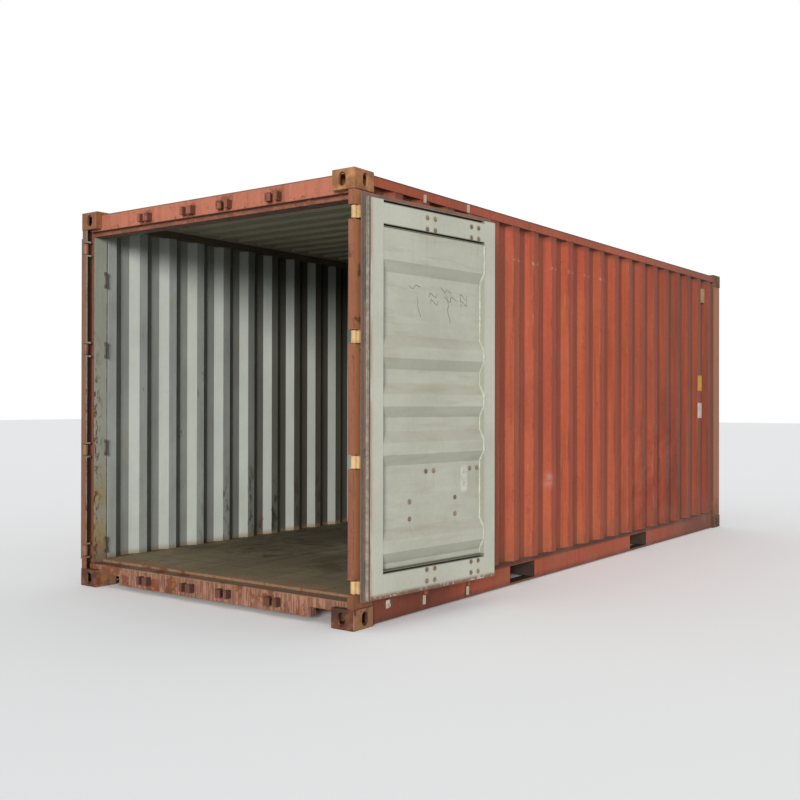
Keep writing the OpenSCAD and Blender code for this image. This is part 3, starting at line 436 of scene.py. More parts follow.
def header_paint():
    """Header: faded salmon face, rust along the lower edge and round the keepers."""
    s = Mat("header_paint")
    col = red_paint(s, SALMON, 0.35)
    # the header's back and underside take the inside grey, darkened to olive as painted shade
    back = s.top(s.toward((0, 1, 0), 0.3, 0.6), s.toward((0, 0, -1), 0.5, 0.8))
    col = s.mix(back, col, grey_paint(s, OLIVE))
    low = s.step(s.z, HEADER_Z + 0.016, HEADER_Z + 0.002)
    lip = s.step(s.noise(11, 5, 0.7, shift=83), 0.36, 0.60, 0.45, 0.90)
    lip = s.mul(s.step(s.z, HEADER_Z + 0.003, HEADER_Z - 0.004), lip)
    col = s.mix(lip, col, (0.090, 0.034, 0.022))
    # painted shadow line just under the header's face
    col = s.mix(s.mul(s.band(s.z, 2.449, HEADER_Z + 0.003, 0.003), 0.75), col, (0.060, 0.022, 0.014))
    edge_rust = s.mul(low, s.step(s.noise(16, 5, 0.7, shift=81), 0.54, 0.64))
    speck = s.mul(s.step(s.noise(22, 6, 0.75, shift=82), 0.55, 0.61), s.step(s.z, 2.515, 2.465))
    top = s.step(s.z, 2.562, 2.569)
    col = s.mix(s.mul(top, 0.75), col, (0.075, 0.036, 0.022))
    near = []
    for bar in BARS:
        dx = s.abs(s.f("SUBTRACT", s.abs(s.x), bar))
        near.append(s.step(s.top(dx, s.abs(s.f("SUBTRACT", s.z, KEEPER_Z))), 0.085, 0.040))
    stain = s.mul(s.top(*near), s.step(s.noise(14, 5, 0.7, shift=84), 0.42, 0.60))
    return coat(s, col, s.top(edge_rust, speck, s.mul(stain, 0.85), rust_mask(s, 0.10, 6.0)), 0.2)


def sill_paint():
    """Sill: red coat nearly worn through, with pink, ochre and dark runs."""
    s = Mat("sill_paint")
    base = s.tint(s.mix(s.noise(5, 6, 0.7, shift=91), (0.070, 0.030, 0.018), (0.160, 0.066, 0.042)), 0.3)
    col = s.mix(s.streaks(0.016, 0.16, 0.47, 0.60, 92), base, (0.215, 0.102, 0.068))
    col = s.mix(s.mul(s.streaks(0.012, 0.12, 0.56, 0.66, 94), 0.9), col, (0.200, 0.130, 0.066))
    col = s.mix(s.streaks(0.010, 0.10, 0.60, 0.68, 96), col, (0.040, 0.024, 0.016))
    ledge = s.step(s.z, SILL_Z - 0.010, SILL_Z - 0.004)
    col = s.mix(s.mul(ledge, 0.75), col, (0.140, 0.090, 0.052))
    rust = s.top(rust_mask(s, 0.40, 8.0), chipped(s, 0.8, 0.008))
    return coat(s, col, rust, 0.15, 0.6)


def leaf_fields(s, side):
    """Distance along the open leaf from its pin, and depth towards the leaf's inner face."""
    sign = SIDES[side]
    rel = s.v("SUBTRACT", s.P, (sign * PIN.x, PIN.y, 0))
    along = s.v("DOT_PRODUCT", rel, (-sign * math.cos(OPEN), -math.sin(OPEN), 0))
    depth = s.v("DOT_PRODUCT", rel, (-sign * math.sin(OPEN), math.cos(OPEN), 0))
    return along, depth


def door_inner(side):
    return (-SIDES[side] * math.sin(OPEN), math.cos(OPEN), 0.0)


def bolt_halo(s, u, centre, half, zs, rise):
    """Rusty rings round the bolts of a bracket, with short runs below them."""
    du = s.abs(s.f("SUBTRACT", s.abs(s.f("SUBTRACT", u, centre)), half))
    out = None
    for z in zs:
        dz = s.abs(s.f("SUBTRACT", s.abs(s.f("SUBTRACT", s.z, z)), rise))
        dist = s.f("SQRT", s.f("ADD", s.mul(du, du), s.mul(dz, dz)))
        ring = s.step(dist, 0.024, 0.010)
        run = s.mul(s.step(du, 0.010, 0.002), s.band(s.z, z - rise - 0.11, z - rise, 0.02))
        ring = s.top(ring, s.mul(run, 0.18))
        out = ring if out is None else s.top(out, ring)
    return out


def door_paint(side):
    """Door leaf: grey inside with stained ribs and rusty bolt rings, red outside."""
    s = Mat(f"door_paint_{side}")
    u = leaf_fields(s, side)[0]
    x = s.f("SUBTRACT", PIN.x, u)
    inner = s.toward(door_inner(side), -0.5, -0.45)
    x0, x1 = LEAF_X[0] + STILE, LEAF_X[1] - STILE
    z0, z1 = LEAF_Z[0] + CHANNEL, LEAF_Z[1] - CHANNEL
    in_panel = s.mul(s.band(x, x0, x1, 0.001), s.band(s.z, z0, z1, 0.001))
    grey = s.mix(in_panel, grey_paint(s, GREY_STILE, 0.12, 0.12), grey_paint(s, GREY_DOOR, 0.18, 0.10))
    wipe = s.step(s.noise(1.0, 5, 0.6, stretch=(2.2, 2.2, 17), shift=101), 0.48, 0.70)
    grey = s.mix(s.mul(wipe, in_panel, 0.38), grey, (0.225, 0.190, 0.132))
    pale = s.step(s.noise(1.0, 4, 0.6, stretch=(1.6, 1.6, 9), shift=103), 0.52, 0.72)
    grey = s.mix(s.mul(pale, in_panel, 0.35), grey, (0.36, 0.37, 0.315))
    grey = s.mix(s.mul(s.toward((0, 0, 1), 0.3, 0.6), 0.35), grey, (0.20, 0.170, 0.120))
    # painted shade on the faces that look back along the leaf towards its hinge
    ends = s.toward((SIDES[side] * math.cos(OPEN), math.sin(OPEN), 0), 0.4, 0.7)
    grey = s.mix(s.mul(ends, 0.45), grey, (0.115, 0.112, 0.086))
    grey = s.mix(s.mul(s.toward((0, 0, -1), 0.3, 0.6), 0.28), grey, (0.17, 0.165, 0.12))
    smear = s.mul(s.band(u, 0.885, 0.945, 0.012), s.band(s.z, 0.73, 0.88, 0.02))
    smear = s.mul(smear, s.step(s.noise(30, 4, 0.7, shift=105), 0.35, 0.60))
    grey = s.mix(s.mul(smear, 0.6), grey, (0.50, 0.50, 0.44))
    # dark lines along the slots by the channels: painted shade, with some dirt
    for z in (z0 - SLOT / 2, z1 + SLOT / 2, LEAF_Z[1] - SLOT / 2):
        line = s.mul(s.band(s.z, z - 0.011, z + 0.011, 0.004), s.band(x, x0, x1, 0.002))
        grey = s.mix(s.mul(line, 0.75), grey, (0.060, 0.058, 0.036))
    halos = []
    for bar in BARS:
        at = PIN.x - bar
        halos += [bolt_halo(s, u, at - BOLT_OFF, BOLT_HALF, (BRACKETS[0], BRACKETS[2]), BOLT_RISE),
                  bolt_halo(s, u, at - BOLT_OFF + PANEL_SHIFT, BOLT_HALF, (BRACKETS[1],), 0.0),
                  bolt_halo(s, u, at - CATCH_X + PANEL_SHIFT, 0.0, (CATCH_Z,), CATCH_RISE)]
    grey = s.mix(s.mul(s.top(*halos), 0.60), grey, (0.150, 0.078, 0.030))
    hinge_line = s.step(s.noise(1.0, 5, 0.6, stretch=(20, 20, 3), shift=107), 0.40, 0.56)
    grey = s.mix(s.mul(s.step(u, 0.075, 0.042), hinge_line, 0.6), grey, (0.24, 0.095, 0.070))
    foot = s.step(s.noise(18, 5, 0.7, shift=109), 0.34, 0.50)
    foot = s.mul(s.step(s.z, LEAF_Z[0] + 0.034, LEAF_Z[0] + 0.006), foot)
    col = s.mix(inner, red_paint(s, RED, 0.3), grey)
    col = s.mix(s.step(u, 0.0445, 0.0415), col, (0.060, 0.026, 0.016))
    specks = s.mul(s.step(s.noise(24, 5, 0.7, shift=110), 0.64, 0.70), s.step(s.z, z0, LEAF_Z[0] + 0.05))
    outer_rust = s.mul(s.top(rust_mask(s, 0.22, 6.0), near_ground(s, 0.6, 0.5)), s.rest(inner))
    return coat(s, col, s.top(s.mul(foot, 0.9), s.mul(specks, 0.8), outer_rust), 0.4)


def gasket_rubber(side):
    """Door gasket: pale weathered lips over a groove darkened as painted shade, with paint on the inner
    bead's edge.
    """
    s = Mat(f"gasket_rubber_{side}")
    u, v = leaf_fields(s, side)
    n1 = s.noise(30, 5, 0.6)
    pale = s.mix(s.step(n1, 0.35, 0.7), (0.120, 0.112, 0.090), (0.200, 0.190, 0.160))
    pale = s.mix(s.mul(s.streaks(0.02, 0.4, 0.5, 0.7, 113), 0.6), pale, (0.085, 0.078, 0.060))
    pale = s.mix(s.mul(s.step(v, 0.046, 0.040), 0.8), pale, (0.100, 0.062, 0.044))
    # painted shade in the groove between the lips
    groove = s.band(v, 0.042, 0.058, 0.002)
    col = s.mix(s.mul(groove, 0.9), pale, (0.045, 0.043, 0.036))
    painted = s.mul(s.step(u, 0.036, 0.039), s.step(s.noise(9, 4, 0.6, shift=114), 0.38, 0.52))
    col = s.mix(s.mul(painted, 0.55), col, (0.21, 0.085, 0.060))
    if side == "left":
        col = s.mix(0.75, col, (0.060, 0.030, 0.020))
    return s.finish(col, s.mad(n1, 0.2, 0.66), n1, 0.3, 0.001)


def casting_steel(name, tint, dark, ochre=0.6, paint=0.5, side=0.0, left=0.0):
    """Rough cast or forged steel with scraps of paint, ochre on its right and darker at the left."""
    s = Mat(name)
    n1 = s.noise(7, 7, 0.7)
    col = s.mix(s.step(n1, 0.35, 0.62), tint, dark)
    col = s.mix(s.mul(s.step(s.noise(13, 5, 0.6, shift=5), 0.54, 0.66), ochre), col, (0.215, 0.110, 0.036))
    col = s.mix(s.mul(s.step(s.noise(5, 4, 0.6, shift=9), 0.56, 0.64), paint), col, (0.220, 0.068, 0.034))
    if side:
        patch = s.step(s.noise(9, 5, 0.6, shift=15), 0.36, 0.52, 0.0, side)
        col = s.mix(s.mul(s.toward((1, 0, 0), 0.5, 0.8), patch), col, (0.330, 0.165, 0.072))
    col = s.mix(s.mul(s.edge(0.008), 0.6), col, dark)
    if left:
        col = s.mix(s.step(s.x, -1.0, -1.1, 0.0, left), col, (0.080, 0.030, 0.017))
    col = s.mix(s.step(s.y, 1.5, 2.5, 0.0, 0.75), col, (0.045, 0.024, 0.015))
    pits = s.noise(60, 4, 0.7)
    return s.finish(col, s.mad(n1, 0.2, 0.7), s.f("ADD", s.mul(pits, 0.6), n1), 0.6, 0.004)


def bar_paint():
    """Locking bars: red over the zinc, worn pale at the cams."""
    s = Mat("bar_paint")
    red = s.mix(rust_mask(s, 0.25, 9.0, 4), red_paint(s, (0.150, 0.034, 0.016), 0.2), rust_colour(s))
    pale = s.tint(s.mix(s.noise(24, 5, 0.7, shift=88), (0.36, 0.32, 0.26), (0.24, 0.20, 0.15)), 0.2)
    bare = s.top(s.step(s.z, 0.118, 0.112), s.step(s.z, 2.478, 2.486))
    col = s.mix(bare, red, pale)
    return s.finish(col, 0.6, s.noise(40, 4, 0.6), 0.3, 0.001)


def keeper_paint():
    """Cam keepers: painted with the header or sill that carries them, worn dark at their edges, with painted
    shade on their undersides and +X faces.
    """
    s = Mat("keeper_paint")
    low = s.step(s.z, 1.6, 1.0)
    col = s.mix(low, red_paint(s, (0.160, 0.052, 0.031), 0.2), red_paint(s, (0.070, 0.029, 0.018), 0.1))
    # painted shade on the undersides and on faces that look to +X
    dark = s.top(s.toward((0, 0, -1), 0.3, 0.6), s.toward((1, 0, 0), 0.3, 0.6))
    col = s.mix(s.mul(dark, 0.6), col, (0.050, 0.018, 0.012))
    worn = s.top(s.mul(s.edge(0.006), 0.8), s.step(s.noise(20, 5, 0.7, shift=86), 0.52, 0.62))
    col = s.mix(s.mul(worn, 0.8), col, (0.055, 0.022, 0.014))
    return s.finish(col, 0.7, s.noise(50, 4, 0.6), 0.4, 0.002)


def galvanised(name, rusty, pale):
    """Zinc with its spangle, rusting through."""
    s = Mat(name)
    vor = s.n("TexVoronoi")
    s.put(vor.inputs["Vector"], s.P)
    vor.inputs["Scale"].default_value = 70
    spangle = s.step(vor.outputs["Distance"], 0.0, 0.8)
    col = s.mix(spangle, pale, tuple(c * 0.72 for c in pale))
    col = s.mix(s.step(s.noise(9, 6, 0.7), 0.45, 0.65), col, (0.56, 0.54, 0.48))
    rust = rust_mask(s, rusty, 9.0, 4)
    rust = s.top(rust, s.mul(s.edge(0.004), s.step(s.noise(25, 4, 0.6), 0.4, 0.6)))
    col = s.mix(rust, col, rust_colour(s))
    return s.finish(col, s.mad(rust, 0.35, 0.48), s.f("ADD", spangle, rust), 0.25, 0.001,
                    metal=s.mul(s.rest(rust), 0.35))


def plywood():
    """Floor boards: grain, scratches, wheel tracks and joints, rusty at the doorway, paler there as painted
    light and darker deeper in as painted shade.
    """
    s = Mat("floor_plywood")
    s.gloss = 0.06
    grain = s.noise(1.0, 6, 0.65, stretch=(40, 2.2, 40))
    wide = s.noise(1.1, 5, 0.6, shift=3)
    col = s.mix(grain, (0.165, 0.138, 0.088), (0.090, 0.074, 0.046))
    col = s.mix(s.step(wide, 0.38, 0.60), col, (0.215, 0.185, 0.125))
    col = s.mix(s.mul(s.step(s.noise(3.2, 8, 0.7, shift=6), 0.5, 0.66), 0.75), col, (0.050, 0.040, 0.027))
    scr = s.noise(1.0, 4, 0.6, stretch=(70, 1.4, 70), shift=9)
    col = s.mix(s.mul(s.step(scr, 0.64, 0.70), 0.6), col, (0.28, 0.24, 0.17))
    tracks = s.noise(1.0, 4, 0.6, stretch=(5, 0.6, 5), shift=19)
    col = s.mix(s.mul(s.step(tracks, 0.52, 0.66), 0.5), col, (0.070, 0.058, 0.040))
    # painted light near the doorway
    col = s.mix(s.step(s.y, -1.9, -2.7, 0.0, 0.35), col, (0.260, 0.200, 0.125))
    # painted shade deeper inside
    col = s.mix(s.step(s.y, -2.3, 0.8, 0.0, 0.85), col, (0.032, 0.029, 0.019))
    edge = s.step(s.y, -2.70, -2.84)
    col = s.mix(s.mul(edge, s.step(s.noise(4, 5, 0.6, shift=29), 0.35, 0.60)), col, (0.24, 0.150, 0.085))
    board = s.abs(s.f("SUBTRACT", s.f("FRACT", s.mad(s.x, 1 / BOARD_WIDE, 0.5)), 0.5))
    sheet = s.abs(s.f("SUBTRACT", s.f("FRACT", s.mad(s.y, 1 / BOARD_LONG, 0.1)), 0.5))
    gap = s.top(s.step(board, 0.495, 0.498), s.step(sheet, 0.4975, 0.499))
    col = s.mix(gap, col, (0.015, 0.012, 0.010))
    height = s.f("SUBTRACT", s.mul(grain, 0.5), gap)
    return s.finish(col, s.mad(wide, 0.2, 0.70), height, 0.5, 0.003)


def worn_colour(name, base, dirt, amount=0.5, rough=0.5):
    """One even paint or plastic with dirt on it."""
    s = Mat(name)
    n1 = s.noise(14, 6, 0.65, shift=121)
    col = s.mix(s.mul(s.step(n1, 0.42, 0.66), amount), base, dirt)
    col = s.mix(s.mul(s.edge(0.003), 0.5), col, dirt)
    return s.finish(s.tint(col, 0.2), s.mad(n1, 0.25, rough), n1, 0.3, 0.001)


def under_frame():
    """Cross members, out of the weather but rusty."""
    s = Mat("base_paint")
    col = red_paint(s, (0.070, 0.022, 0.013), 0.1)
    col = s.mix(s.step(s.noise(4, 5, 0.6, shift=131), 0.45, 0.65), col, (0.032, 0.018, 0.012))
    return coat(s, col, s.mul(rust_mask(s, 0.50, 5.0), 0.6), 0.2, 0.6)


M = {
    "wall_right": wall_paint("right"),
    "wall_left": wall_paint("left"),
    "roof": plain_sheet("roof_paint", (0, 0, -1), (0.215, 0.200, 0.135), 0.8, 0.40),
    # the front wall's inside gets a near-black grey: painted shade for the far end of the box
    "front": plain_sheet("front_paint", (0, -1, 0), (0.052, 0.049, 0.030), gloss=0.10),
    "post": post_paint(),
    "rail": rail_paint(),
    "header": header_paint(),
    "sill": sill_paint(),
    "base": under_frame(),
    "pocket": worn_colour("pocket_dark", (0.022, 0.013, 0.009), (0.050, 0.022, 0.013), 0.4),
    "casting_top": casting_steel("casting_ochre", (0.300, 0.138, 0.056), (0.145, 0.062, 0.027), left=0.65),
    "casting_low": casting_steel("casting_dark", (0.088, 0.026, 0.013), (0.034, 0.013, 0.008),
                                 0.22, 0.40, side=0.5),
    "keeper": keeper_paint(),
    "hinge_right": worn_colour("hinge_cream", (0.370, 0.245, 0.115), (0.150, 0.075, 0.034), 0.5),
    "hinge_left": worn_colour("hinge_rusty", (0.150, 0.075, 0.042), (0.070, 0.030, 0.018), 0.7),
    "door_right": door_paint("right"),
    "door_left": door_paint("left"),
    "gasket_right": gasket_rubber("right"),
    "gasket_left": gasket_rubber("left"),
    "zinc": galvanised("galvanised_steel", 0.4, (0.34, 0.33, 0.29)),
    "bracket": worn_colour("bracket_paint", (0.115, 0.034, 0.019), (0.050, 0.022, 0.014), 0.6),
    "bar": bar_paint(),
    "floor": plywood(),
    "bolt": casting_steel("bolt_rust", (0.085, 0.060, 0.036), (0.035, 0.022, 0.014), 0.5, 0.0),
    "bolt_grey": casting_steel("bolt_dull", (0.200, 0.175, 0.120), (0.090, 0.062, 0.036), 0.3, 0.0),
    "lash": worn_colour("lash_dark", (0.075, 0.055, 0.038), (0.030, 0.020, 0.014)),
    "vent": worn_colour("vent_cover_pale", (0.20, 0.145, 0.060), (0.12, 0.055, 0.024), 0.6),
    "sealant": worn_colour("sealant_cream", (0.300, 0.312, 0.255), (0.20, 0.195, 0.145), 0.4),
    "weld_red": worn_colour("weld_painted", (0.150, 0.036, 0.017), (0.070, 0.022, 0.012), 0.8),
    "plate_yellow": worn_colour("plate_yellow_paint", (0.33, 0.175, 0.014), (0.24, 0.12, 0.04), 0.35),
    "plate_white": worn_colour("plate_white_paint", (0.36, 0.30, 0.27), (0.20, 0.13, 0.10), 0.5),
    "pencil": worn_colour("pencil_grey", (0.085, 0.088, 0.085), (0.16, 0.16, 0.14), 0.5),
}
# Which material a node gets: the first line whose words are in its name
RULES = (
    ("top_corner_castings", "casting_top"), ("bottom_corner_castings", "casting_low"),
    ("rear_post", "post"), ("front_post", "post"), ("header", "header"), ("sill", "sill"),
    ("keepers", "keeper"), ("rail", "rail"), ("front_wall", "front"), ("right_wall", "wall_right"),
    ("left_wall", "wall_left"), ("roof", "roof"), ("floor", "floor"), ("cross_members", "base"),
    ("fork_pockets", "pocket"), ("lashing", "lash"), ("ventilators", "vent"),
    ("right_door_frame", "door_right"), ("right_door_panel", "door_right"),
    ("left_door_frame", "door_left"), ("left_door_panel", "door_left"),
    ("right_door_gasket", "gasket_right"), ("left_door_gasket", "gasket_left"),
    ("right_door_hinges", "hinge_right"), ("left_door_hinges", "hinge_left"),
    ("brackets", "bracket"), ("catches", "zinc"), ("_bar_", "bar"), ("handle", "zinc"),
)


def shade(obj, key):
    obj.data.materials.clear()
    obj.data.materials.append(M[key])


for name, obj in NODES.items():
    shade(obj, next(k for part, k in RULES if part in name))


# ---------------------------------------------------------------- small pieces
def new_piece(name, bm, key, body):
    mesh = bpy.data.meshes.new(name)
    bm.to_mesh(mesh)
    bm.free()
    obj = bpy.data.objects.new(name, mesh)
    bpy.context.scene.collection.objects.link(obj)
    shade(obj, key)
    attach(obj, body)
    return obj


def lathe(bm, profile, matrix, seg):
    """Turned form: profile is a list of (radius, height) along +Z of matrix, ending on the axis."""
    rings = []
    for r, h in profile[:-1]:
        turns = [2 * math.pi * i / seg for i in range(seg)]
        rings.append([bm.verts.new(matrix @ Vector((r * math.cos(a), r * math.sin(a), h))) for a in turns])
    tip = bm.verts.new(matrix @ Vector((0, 0, profile[-1][1])))
    for a, b in zip(rings, rings[1:]):
        for i in range(seg):
            bm.faces.new((a[i], a[(i + 1) % seg], b[(i + 1) % seg], b[i]))
    for i in range(seg):
        bm.faces.new((rings[-1][i], rings[-1][(i + 1) % seg], tip))


def bead(bm, points, radius, step=0.012, uneven=0.25, seg=6):
    """Weld, sealant or pencil line: an uneven round bead along a route of points."""
    route = [points[0]]
    for a, b in zip(points, points[1:]):
        n = max(1, round((b - a).length / step))
        route += [a.lerp(b, i / n) for i in range(1, n + 1)]
    rings = []
    for i, p in enumerate(route):
        along = (route[min(i + 1, len(route) - 1)] - route[max(i - 1, 0)]).normalized()
        side = along.cross(Vector((0.31, 0.52, 0.80))).normalized()
        up = along.cross(side)
        end = i in (0, len(route) - 1)
        r = radius * (0.35 if end else 1 + R.uniform(-uneven, uneven))
        turns = [2 * math.pi * k / seg for k in range(seg)]
        rings.append([bm.verts.new(p + r * (math.cos(a) * side + math.sin(a) * up)) for a in turns])
    for a, b in zip(rings, rings[1:]):
        for k in range(seg):
            bm.faces.new((a[k], a[(k + 1) % seg], b[(k + 1) % seg], b[k]))
    bm.faces.new(rings[0][::-1])
    bm.faces.new(rings[-1])


def plate(bm, low, high):
    """Box between two corners."""
    low, high = Vector(low), Vector(high)
    m = Matrix.Translation((low + high) / 2) @ Matrix.Diagonal((*(high - low), 1))
    bmesh.ops.create_cube(bm, size=1, matrix=m)


def door_matrix(side):
    """Places a piece given on the closed right door where the open door stands."""
    m = Matrix.Translation(PIN) @ Matrix.Rotation(OPEN, 4, "Z") @ Matrix.Translation(-PIN)
    return m if side == "right" else Matrix.Scale(-1, 4, Vector((1, 0, 0))) @ m


def facing(y_dir):
    """Matrix that turns +Z to +Y or -Y."""
    return Matrix.Rotation(math.radians(-90 if y_dir > 0 else 90), 4, "X")


# Profiles for lathe: washer and round head, washer and nut, countersunk screw, small rivet
BOLT_ROUND = [(0.0125, 0), (0.0125, 0.0012), (0.0085, 0.0012), (0.0085, 0.0050),
              (0.0045, 0.0072), (0, 0.0078)]
HEX = [(0.0150, 0), (0.0150, 0.002), (0.0118, 0.002), (0.0118, 0.0095), (0.0100, 0.0110), (0, 0.0112)]
SCREW = [(0.0065, 0), (0.0055, 0.0010), (0.0020, 0.0014), (0, 0.0004)]
RIVET = [(0.0028, 0), (0.0024, 0.0009), (0, 0.0013)]


def bolt_spots():
    """Bolts of brackets and catches on a closed right door: x, z and whether on the panel."""
    spots = []
    for x in BARS:
        for i, z in enumerate(BRACKETS):
            for sx in (BOLT_OFF - BOLT_HALF, BOLT_OFF + BOLT_HALF):
                for d in (0.0,) if i == 1 else (-BOLT_RISE, BOLT_RISE):
                    spots.append((x + sx - (PANEL_SHIFT if i == 1 else 0.0), z + d, i == 1))
        spots += [(x + CATCH_X - PANEL_SHIFT, CATCH_Z + d, True) for d in (-CATCH_RISE, CATCH_RISE)]
    return spots


def door_bolts(side):
    """Round bolt heads on the leaf's inner face."""
    bm = bmesh.new()
    base = door_matrix(side)
    for x, z, on_panel in bolt_spots():
        y = LEAF_Y + (PANEL_BACK if on_panel else LEAF_T)
        turn = Matrix.Rotation(R.uniform(0, 6), 4, "Z")
        lathe(bm, BOLT_ROUND, base @ Matrix.Translation((x, y, z)) @ facing(1) @ turn, 14)
    new_piece(f"{side}_door_bolts", bm, "bolt_grey", f"{side}_door")


def door_nuts(side):
    """Nuts on the outer faces of the bracket plates."""
    bm = bmesh.new()
    base = door_matrix(side)
    for x, z, on_panel in bolt_spots():
        if abs(z - CATCH_Z) < 0.06:
            continue
        x += PANEL_SHIFT if on_panel else 0.0
        turn = Matrix.Rotation(R.uniform(0, 1), 4, "Z")
        lathe(bm, HEX, base @ Matrix.Translation((x, LEAF_Y - 0.006, z)) @ facing(-1) @ turn, 6)
    new_piece(f"{side}_bracket_nuts", bm, "bolt", f"{side}_door")


def rib_depth(z):
    """How far the panel stands in from its back plane at a height."""
    best = 0.0
    for k in RIBS:
        off = abs(z - RIB_LOW - k * RIB_PITCH)
        best = max(best, min(1.0, max(0.0, 1 - (off - RIB_FLAT / 2) / RIB_SLOPE)))
    if z > RIB_TOP - RIB_FLAT / 2 - RIB_SLOPE:
        best = max(best, min(1.0, 1 - (RIB_TOP - RIB_FLAT / 2 - z) / RIB_SLOPE))
    return RIB_DEPTH * best


def panel_sealant(side):
    """Sealant where the panel's ribs meet the stile at the leaf's free edge."""
    bm = bmesh.new()
    base = door_matrix(side)
    x = LEAF_X[0] + STILE + 0.001
    zs = [LEAF_Z[0] + CHANNEL + 0.004]
    half, foot = RIB_FLAT / 2, RIB_FLAT / 2 + RIB_SLOPE
    for k in RIBS:
        zs += [RIB_LOW + k * RIB_PITCH + d for d in (-foot, -half, half, foot)]
    zs += [RIB_TOP - foot, RIB_TOP - half, LEAF_Z[1] - CHANNEL - 0.004]
    route = [base @ Vector((x, LEAF_Y + PANEL_BACK + rib_depth(z) + 0.002, z)) for z in zs]
    bead(bm, route, 0.0075, 0.014, 0.3)
    new_piece(f"{side}_panel_sealant", bm, "sealant", f"{side}_door")


# Meaningless pencil lines on the right door: start along the leaf, start height, run, rise, sway
STROKES = (
    (0.40, 1.950, 0.10, 0.016, 0.010), (0.47, 1.905, 0.03, -0.120, 0.012),
    (0.57, 1.915, 0.10, 0.010, 0.016), (0.59, 1.880, 0.09, -0.004, 0.018),
    (0.69, 1.960, 0.09, -0.010, 0.014), (0.75, 1.920, 0.02, -0.150, 0.014),
    (0.73, 1.905, 0.11, 0.006, 0.018), (0.86, 1.925, 0.09, 0.004, 0.024),
    (0.87, 1.885, 0.08, 0.012, 0.020),
)


def pencil_lines():
    bm = bmesh.new()
    base = door_matrix("right")
    y = LEAF_Y + PANEL_BACK + 0.0004
    for u, z, run, rise, sway in STROKES:
        pts = []
        for i in range(13):
            t = i / 12
            wave = sway * math.sin(t * 9 + u * 20)
            x = PIN.x - u - run * t + wave * 0.6
            pts.append(base @ Vector((x, y, z + rise * t + wave * (1 - 0.4 * t))))
        bead(bm, pts, 0.0016, 0.008, 0.35, 4)
    new_piece("right_door_pencil_lines", bm, "pencil", "right_door")


def hinge_welds(side):
    """Welds round the hinge blades on the leaf's outer face."""
    bm = bmesh.new()
    base = door_matrix(side)
    x0, x1 = PIN.x - 0.190, PIN.x - 0.044
    for z in HINGE_ZS:
        loop = [(x1, z + 0.035), (x0, z + 0.035), (x0, z - 0.035), (x1, z - 0.035)]
        bead(bm, [base @ Vector((x, LEAF_Y - 0.001, h)) for x, h in loop], 0.005)
    new_piece(f"{side}_hinge_welds", bm, "weld_red", f"{side}_door")


def wall_route(side, z, out):
    """Route along the outer face of a side wall's corrugation."""
    points = []
    sign = SIDES[side]
    half, foot = WALL_FLAT / 2, WALL_FLAT / 2 + WALL_SLOPE
    y = -CAST_Y + WALL_START[side] - WALL_PITCH
    while y < CAST_Y + WALL_PITCH:
        for dy, deep in ((-foot, 1), (-half, 0), (half, 0), (foot, 1)):
            if abs(y + dy) < CAST_Y - 0.004:
                points.append(Vector((sign * (WALL_X - WALL_DEPTH * deep + out), y + dy, z)))
        y += WALL_PITCH
    return points


def wall_welds(side):
    """Beads outside along the wall's foot and under the top rail."""
    bm = bmesh.new()
    bead(bm, wall_route(side, FLOOR_Z + 0.001, 0.0012), 0.0030, 0.016)
    bead(bm, wall_route(side, RAIL_Z - 0.001, 0.0012), 0.0030, 0.020)
    new_piece(f"{side}_wall_welds", bm, "weld_red", "frame")


def frame_welds():
    """Welds between the castings, posts, header, sill and rails at the door end."""
    bm = bmesh.new()
    thick = 0.0042
    for sx in (1, -1):
        for z in (CAST_H, BOX_H - CAST_H):
            bead(bm, [Vector((sx * x, END_FACE, z)) for x in (POST_IN + 0.003, POST_X - 0.003)], thick)
            bead(bm, [Vector((sx * (POST_X - 0.0005), y, z)) for y in (-3.020, -CAST_Y - 0.004)], thick)
        bead(bm, [Vector((sx * (CAST_X - 0.001), -2.986, z)) for z in (2.478, BOX_H - 0.022)], thick)
        bead(bm, [Vector((sx * POST_IN, -2.9855, z)) for z in (SILL_Z - 0.002, SILL_Z - 0.030)], thick)
        for z in (0.030, 0.100):
            bead(bm, [Vector((sx * RAIL_FACE, y, z)) for y in (-CAST_Y + 0.001, -CAST_Y + 0.002)], 0.004)
    new_piece("frame_welds", bm, "weld_red", "frame")


def floor_screws():
    """Screws of the floor boards, in rows over the cross members."""
    bm = bmesh.new()
    for y in CROSS_YS:
        for k in range(-9, 10):
            x = k * 0.122 + R.uniform(-0.006, 0.006)
            spot = Matrix.Translation((x, y + R.uniform(-0.006, 0.006), FLOOR_Z))
            lathe(bm, SCREW, spot, 8)
    new_piece("floor_screws", bm, "bolt", "frame")


def wall_plates():
    """Plain plates on the last full crest of the right wall."""
    y = -CAST_Y + WALL_START["right"] + 18 * WALL_PITCH
    for name, key, z0 in (("right_plate_upper", "plate_yellow", 1.400),
                          ("right_plate_lower", "plate_white", 1.130)):
        z1 = z0 + 0.150
        bm = bmesh.new()
        plate(bm, (WALL_X, y - 0.050, z0), (WALL_X + PLATE_T, y + 0.062, z1))
        for dy in (-0.042, 0.054):
            for z in (z0 + 0.008, z1 - 0.008):
                spot = Matrix.Translation((WALL_X + PLATE_T, y + dy, z))
                lathe(bm, RIVET, spot @ Matrix.Rotation(math.pi / 2, 4, "Y"), 8)
        new_piece(name, bm, key, "frame")


